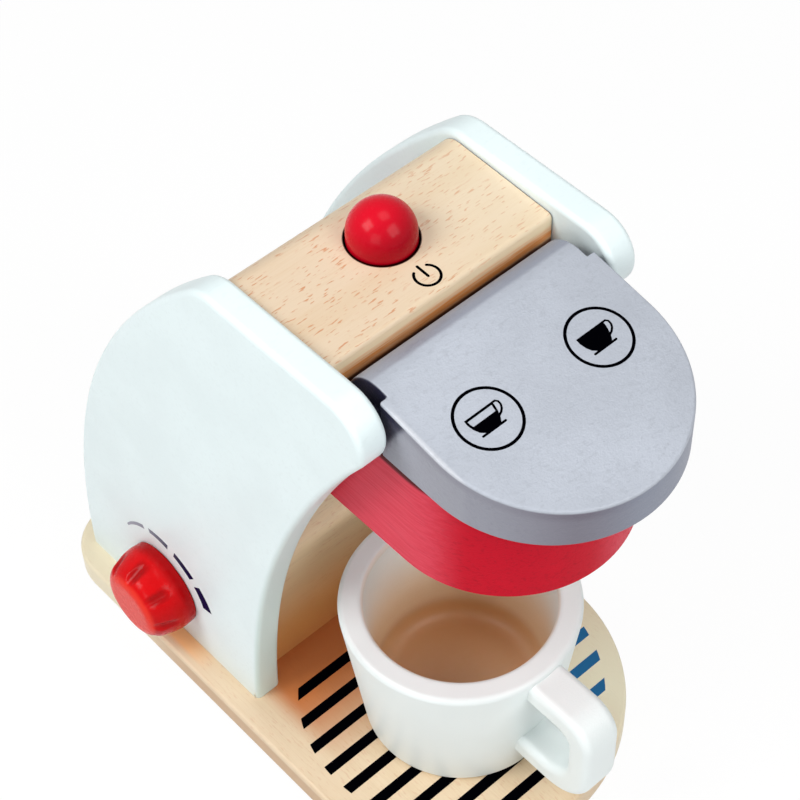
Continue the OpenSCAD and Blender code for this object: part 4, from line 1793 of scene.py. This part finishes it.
def cup_sign(line):
    """Outlines of the cup sign, its bowl, handle and saucer, and of the bowl's
    window. Its points are in millimetres about the sign's middle."""
    bowl = [
        (-5.1, 2.85), (-5.2, 1.4), (-4.85, -0.3), (-4.2, -1.65), (-3.1, -2.6),
        (1.75, -2.6), (2.7, -1.2), (3.25, 0.3), (3.6, 1.6), (3.75, 2.85),
    ]
    handle = [
        (3.55, 2.6), (4.5, 2.6), (5.0, 2.0), (4.95, 1.0), (4.4, 0.1), (3.55, -0.6), (2.6, -1.0)
    ]
    saucer = [(-4.3, -2.9), (2.85, -2.9)]
    window = [(-4.55, 2.2), (-4.55, 1.3), (-4.3, 0.4), (2.7, 0.4), (3.1, 2.2)]
    bowl, handle, saucer, window = (
        [Vector(point) * MM for point in path] for path in (bowl, handle, saucer, window)
    )
    return [bowl, ribbon(handle, line * 0.75), ribbon(saucer, line * 0.8)], window


class AddPrints(Operator):
    """Print the stripes, the knob's scale, the power sign and the cup signs"""

    bl_idname = "toy.prints"
    bl_label = "Prints"

    def execute(self, context):
        body, prints = context.scene.toy_body, context.scene.toy_print
        for make, finish in ((stripe_tree, "stripe_ink"), (scale_tree, "scale_ink")):
            dress(make(prints, FINISHES[finish]), FINISHES[finish], "frame")
        print_on("power_sign", "frame", power_sign(prints), on_block(body), prints.ink)
        outlines, window = cup_sign(prints.sign_line)
        sign_ring = ring(prints.sign_r, prints.sign_line * 1.1)
        for side, sign in SIDES.items():
            place = on_lid(body, prints, sign * prints.sign_x)
            holes = [window] if side == "left" else []
            print_on(f"sign_ring_{side}", "lid", sign_ring, place, prints.ink)
            print_on(f"cup_sign_{side}", "lid", outlines, place, prints.ink, holes)
        return {"FINISHED"}


# ---- Stage ----

class Look(Nodes):
    """Shader nodes of the floor or the world."""

    def __init__(self, owner):
        owner.use_nodes = True
        super().__init__(owner.node_tree)
        self.tree.nodes.clear()

    def background(self):
        """1 for the rays that show the background to the eye."""
        path = self.node("ShaderNodeLightPath").outputs
        seen = [Value(self, path[f"Is {kind} Ray"]) for kind in ("Camera", "Glossy", "Transmission")]
        return (seen[0] + seen[1] + seen[2]).math("MINIMUM", 1.0)

    def mixed(self, share, first, second):
        """A shader between two others."""
        return self.result("ShaderNodeMixShader", None, {0: share, 1: first, 2: second})


class SetStage(Operator):
    """Set the camera, the lights and the white floor"""

    bl_idname = "toy.stage"
    bl_label = "Stage"

    camera_at = Vector((-0.23450, -0.29193, 0.55743))
    azimuth = math.radians(-41.560)
    elevation = math.radians(49.903)
    roll = math.radians(-1.330)
    lens = 94.78
    shift = (-0.0273, -0.0041)
    # Each lamp's place and its side in metres, and its power in watts.
    lamps = {
        "key": ((-0.75, 0.25, 0.95), 0.55, 7.4),
        "top": ((0.15, -0.05, 1.15), 0.5, 2.4),
        "front": ((0.1, -0.85, 0.75), 0.6, 5.0),
        "left": ((-0.8, -0.45, 0.5), 0.5, 1.8),
    }
    sky_light = 0.113
    floor_half = 1.5
    floor_drop = 0.1 * MM
    floor_grey = 0.75
    # The floor's white as the eye sees it, and how far it hides the shadow.
    floor_white = 1.04
    floor_cover = 0.9

    def execute(self, context):
        scene = context.scene
        self.camera(scene)
        self.world(scene)
        self.floor()
        for name, (place, side, power) in self.lamps.items():
            self.softbox(scene, name, Vector(place), side, power)
        scene.view_settings.view_transform = "Standard"
        return {"FINISHED"}

    @staticmethod
    def softbox(scene, name, place, side, power):
        """A square soft light aimed at the toy's middle."""
        data = bpy.data.lights.new(name, "AREA")
        data.size = side
        data.energy = power
        lamp = bpy.data.objects.new(name, data)
        lamp.location = place
        lamp.rotation_euler = (TOY_MIDDLE - place).to_track_quat("-Z", "Y").to_euler()
        scene.collection.objects.link(lamp)

    def camera(self, scene):
        data = bpy.data.cameras.new("camera")
        data.sensor_width = 36
        data.lens = self.lens
        data.shift_x, data.shift_y = self.shift
        data.clip_start, data.clip_end = 0.01, 10
        camera = bpy.data.objects.new("camera", data)
        away = math.cos(self.elevation)
        across, ahead = math.sin(self.azimuth) * away, math.cos(self.azimuth) * away
        view = Vector((-across, ahead, -math.sin(self.elevation)))
        level = view.to_track_quat("-Z", "Y").to_matrix()
        turned = level @ Matrix.Rotation(self.roll, 3, "Z")
        camera.matrix_world = Matrix.Translation(self.camera_at) @ turned.to_4x4()
        scene.collection.objects.link(camera)
        scene.camera = camera

    def world(self, scene):
        scene.world = scene.world or bpy.data.worlds.new("world")
        sky = Look(scene.world)
        strength = self.sky_light + sky.background() * (1 - self.sky_light)
        light = {"Color": (1, 1, 1, 1), "Strength": strength}
        glow = sky.result("ShaderNodeBackground", None, light)
        sky.node("ShaderNodeOutputWorld", None, {"Surface": glow})

    def floor(self):
        """A pale floor just under the toy that is clear from below."""
        half = self.floor_half
        corners = ((-half, -half), (half, -half), (half, half), (-half, half))
        mesh = bmesh.new()
        mesh.faces.new([mesh.verts.new((x, y, -self.floor_drop)) for x, y in corners])
        floor = solid("floor", mesh)
        material = bpy.data.materials.new("floor_white")
        look = Look(material)
        grey = (*[self.floor_grey] * 3, 1)
        matt = look.result("ShaderNodeBsdfDiffuse", None, {"Color": grey})
        light = {"Color": (1, 1, 1, 1), "Strength": self.floor_white}
        white = look.result("ShaderNodeEmission", None, light)
        above = look.mixed(look.background() * self.floor_cover, matt, white)
        below = look.result("ShaderNodeNewGeometry", output="Backfacing")
        clear = look.result("ShaderNodeBsdfTransparent")
        shown = look.mixed(below, above, clear)
        look.node("ShaderNodeOutputMaterial", None, {"Surface": shown})
        floor.data.materials.append(material)
        floor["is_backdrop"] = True


# ---- Panel and run ----

class ToyPanel(Panel):
    """Sidebar panel that lists the pieces of the toy"""

    bl_idname = "VIEW3D_PT_toy_coffee_maker"
    bl_label = "Toy coffee maker"
    bl_space_type = "VIEW_3D"
    bl_region_type = "UI"
    bl_category = "Coffee maker"

    def draw(self, context):
        for step in STEPS:
            self.layout.operator(step.bl_idname)
        for group in GROUPS:
            values = getattr(context.scene, group)
            box = self.layout.box()
            for key in values.__annotations__:
                box.prop(values, key)


STEPS = (
    MakeFinishes,
    AddBaseBoard,
    AddSidePanels,
    AddBlocks,
    AddBrewHead,
    AddLid,
    AddButton,
    AddKnob,
    AddCup,
    AddScrews,
    FinishInnerPieces,
    AddPrints,
    SetStage,
)
GROUPS = {
    "toy_body": BodySizes,
    "toy_small": SmallSizes,
    "toy_print": PrintSizes,
    "toy_colours": Colours,
}


def register():
    for item in (*GROUPS.values(), *STEPS, ToyPanel):
        bpy.utils.register_class(item)
    for name, group in GROUPS.items():
        setattr(bpy.types.Scene, name, PointerProperty(type=group))


def unregister():
    for name in GROUPS:
        delattr(bpy.types.Scene, name)
    for item in (ToyPanel, *reversed(STEPS), *reversed(GROUPS.values())):
        bpy.utils.unregister_class(item)


def main():
    register()
    for step in STEPS:
        area, name = step.bl_idname.split(".")
        getattr(getattr(bpy.ops, area), name)()
    boxes = {"cad": CAD_BOX, "visual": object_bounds()}
    {key: [list(corner) for corner in box] for key, box in boxes.items()}


if __name__ == "__main__":
    main()
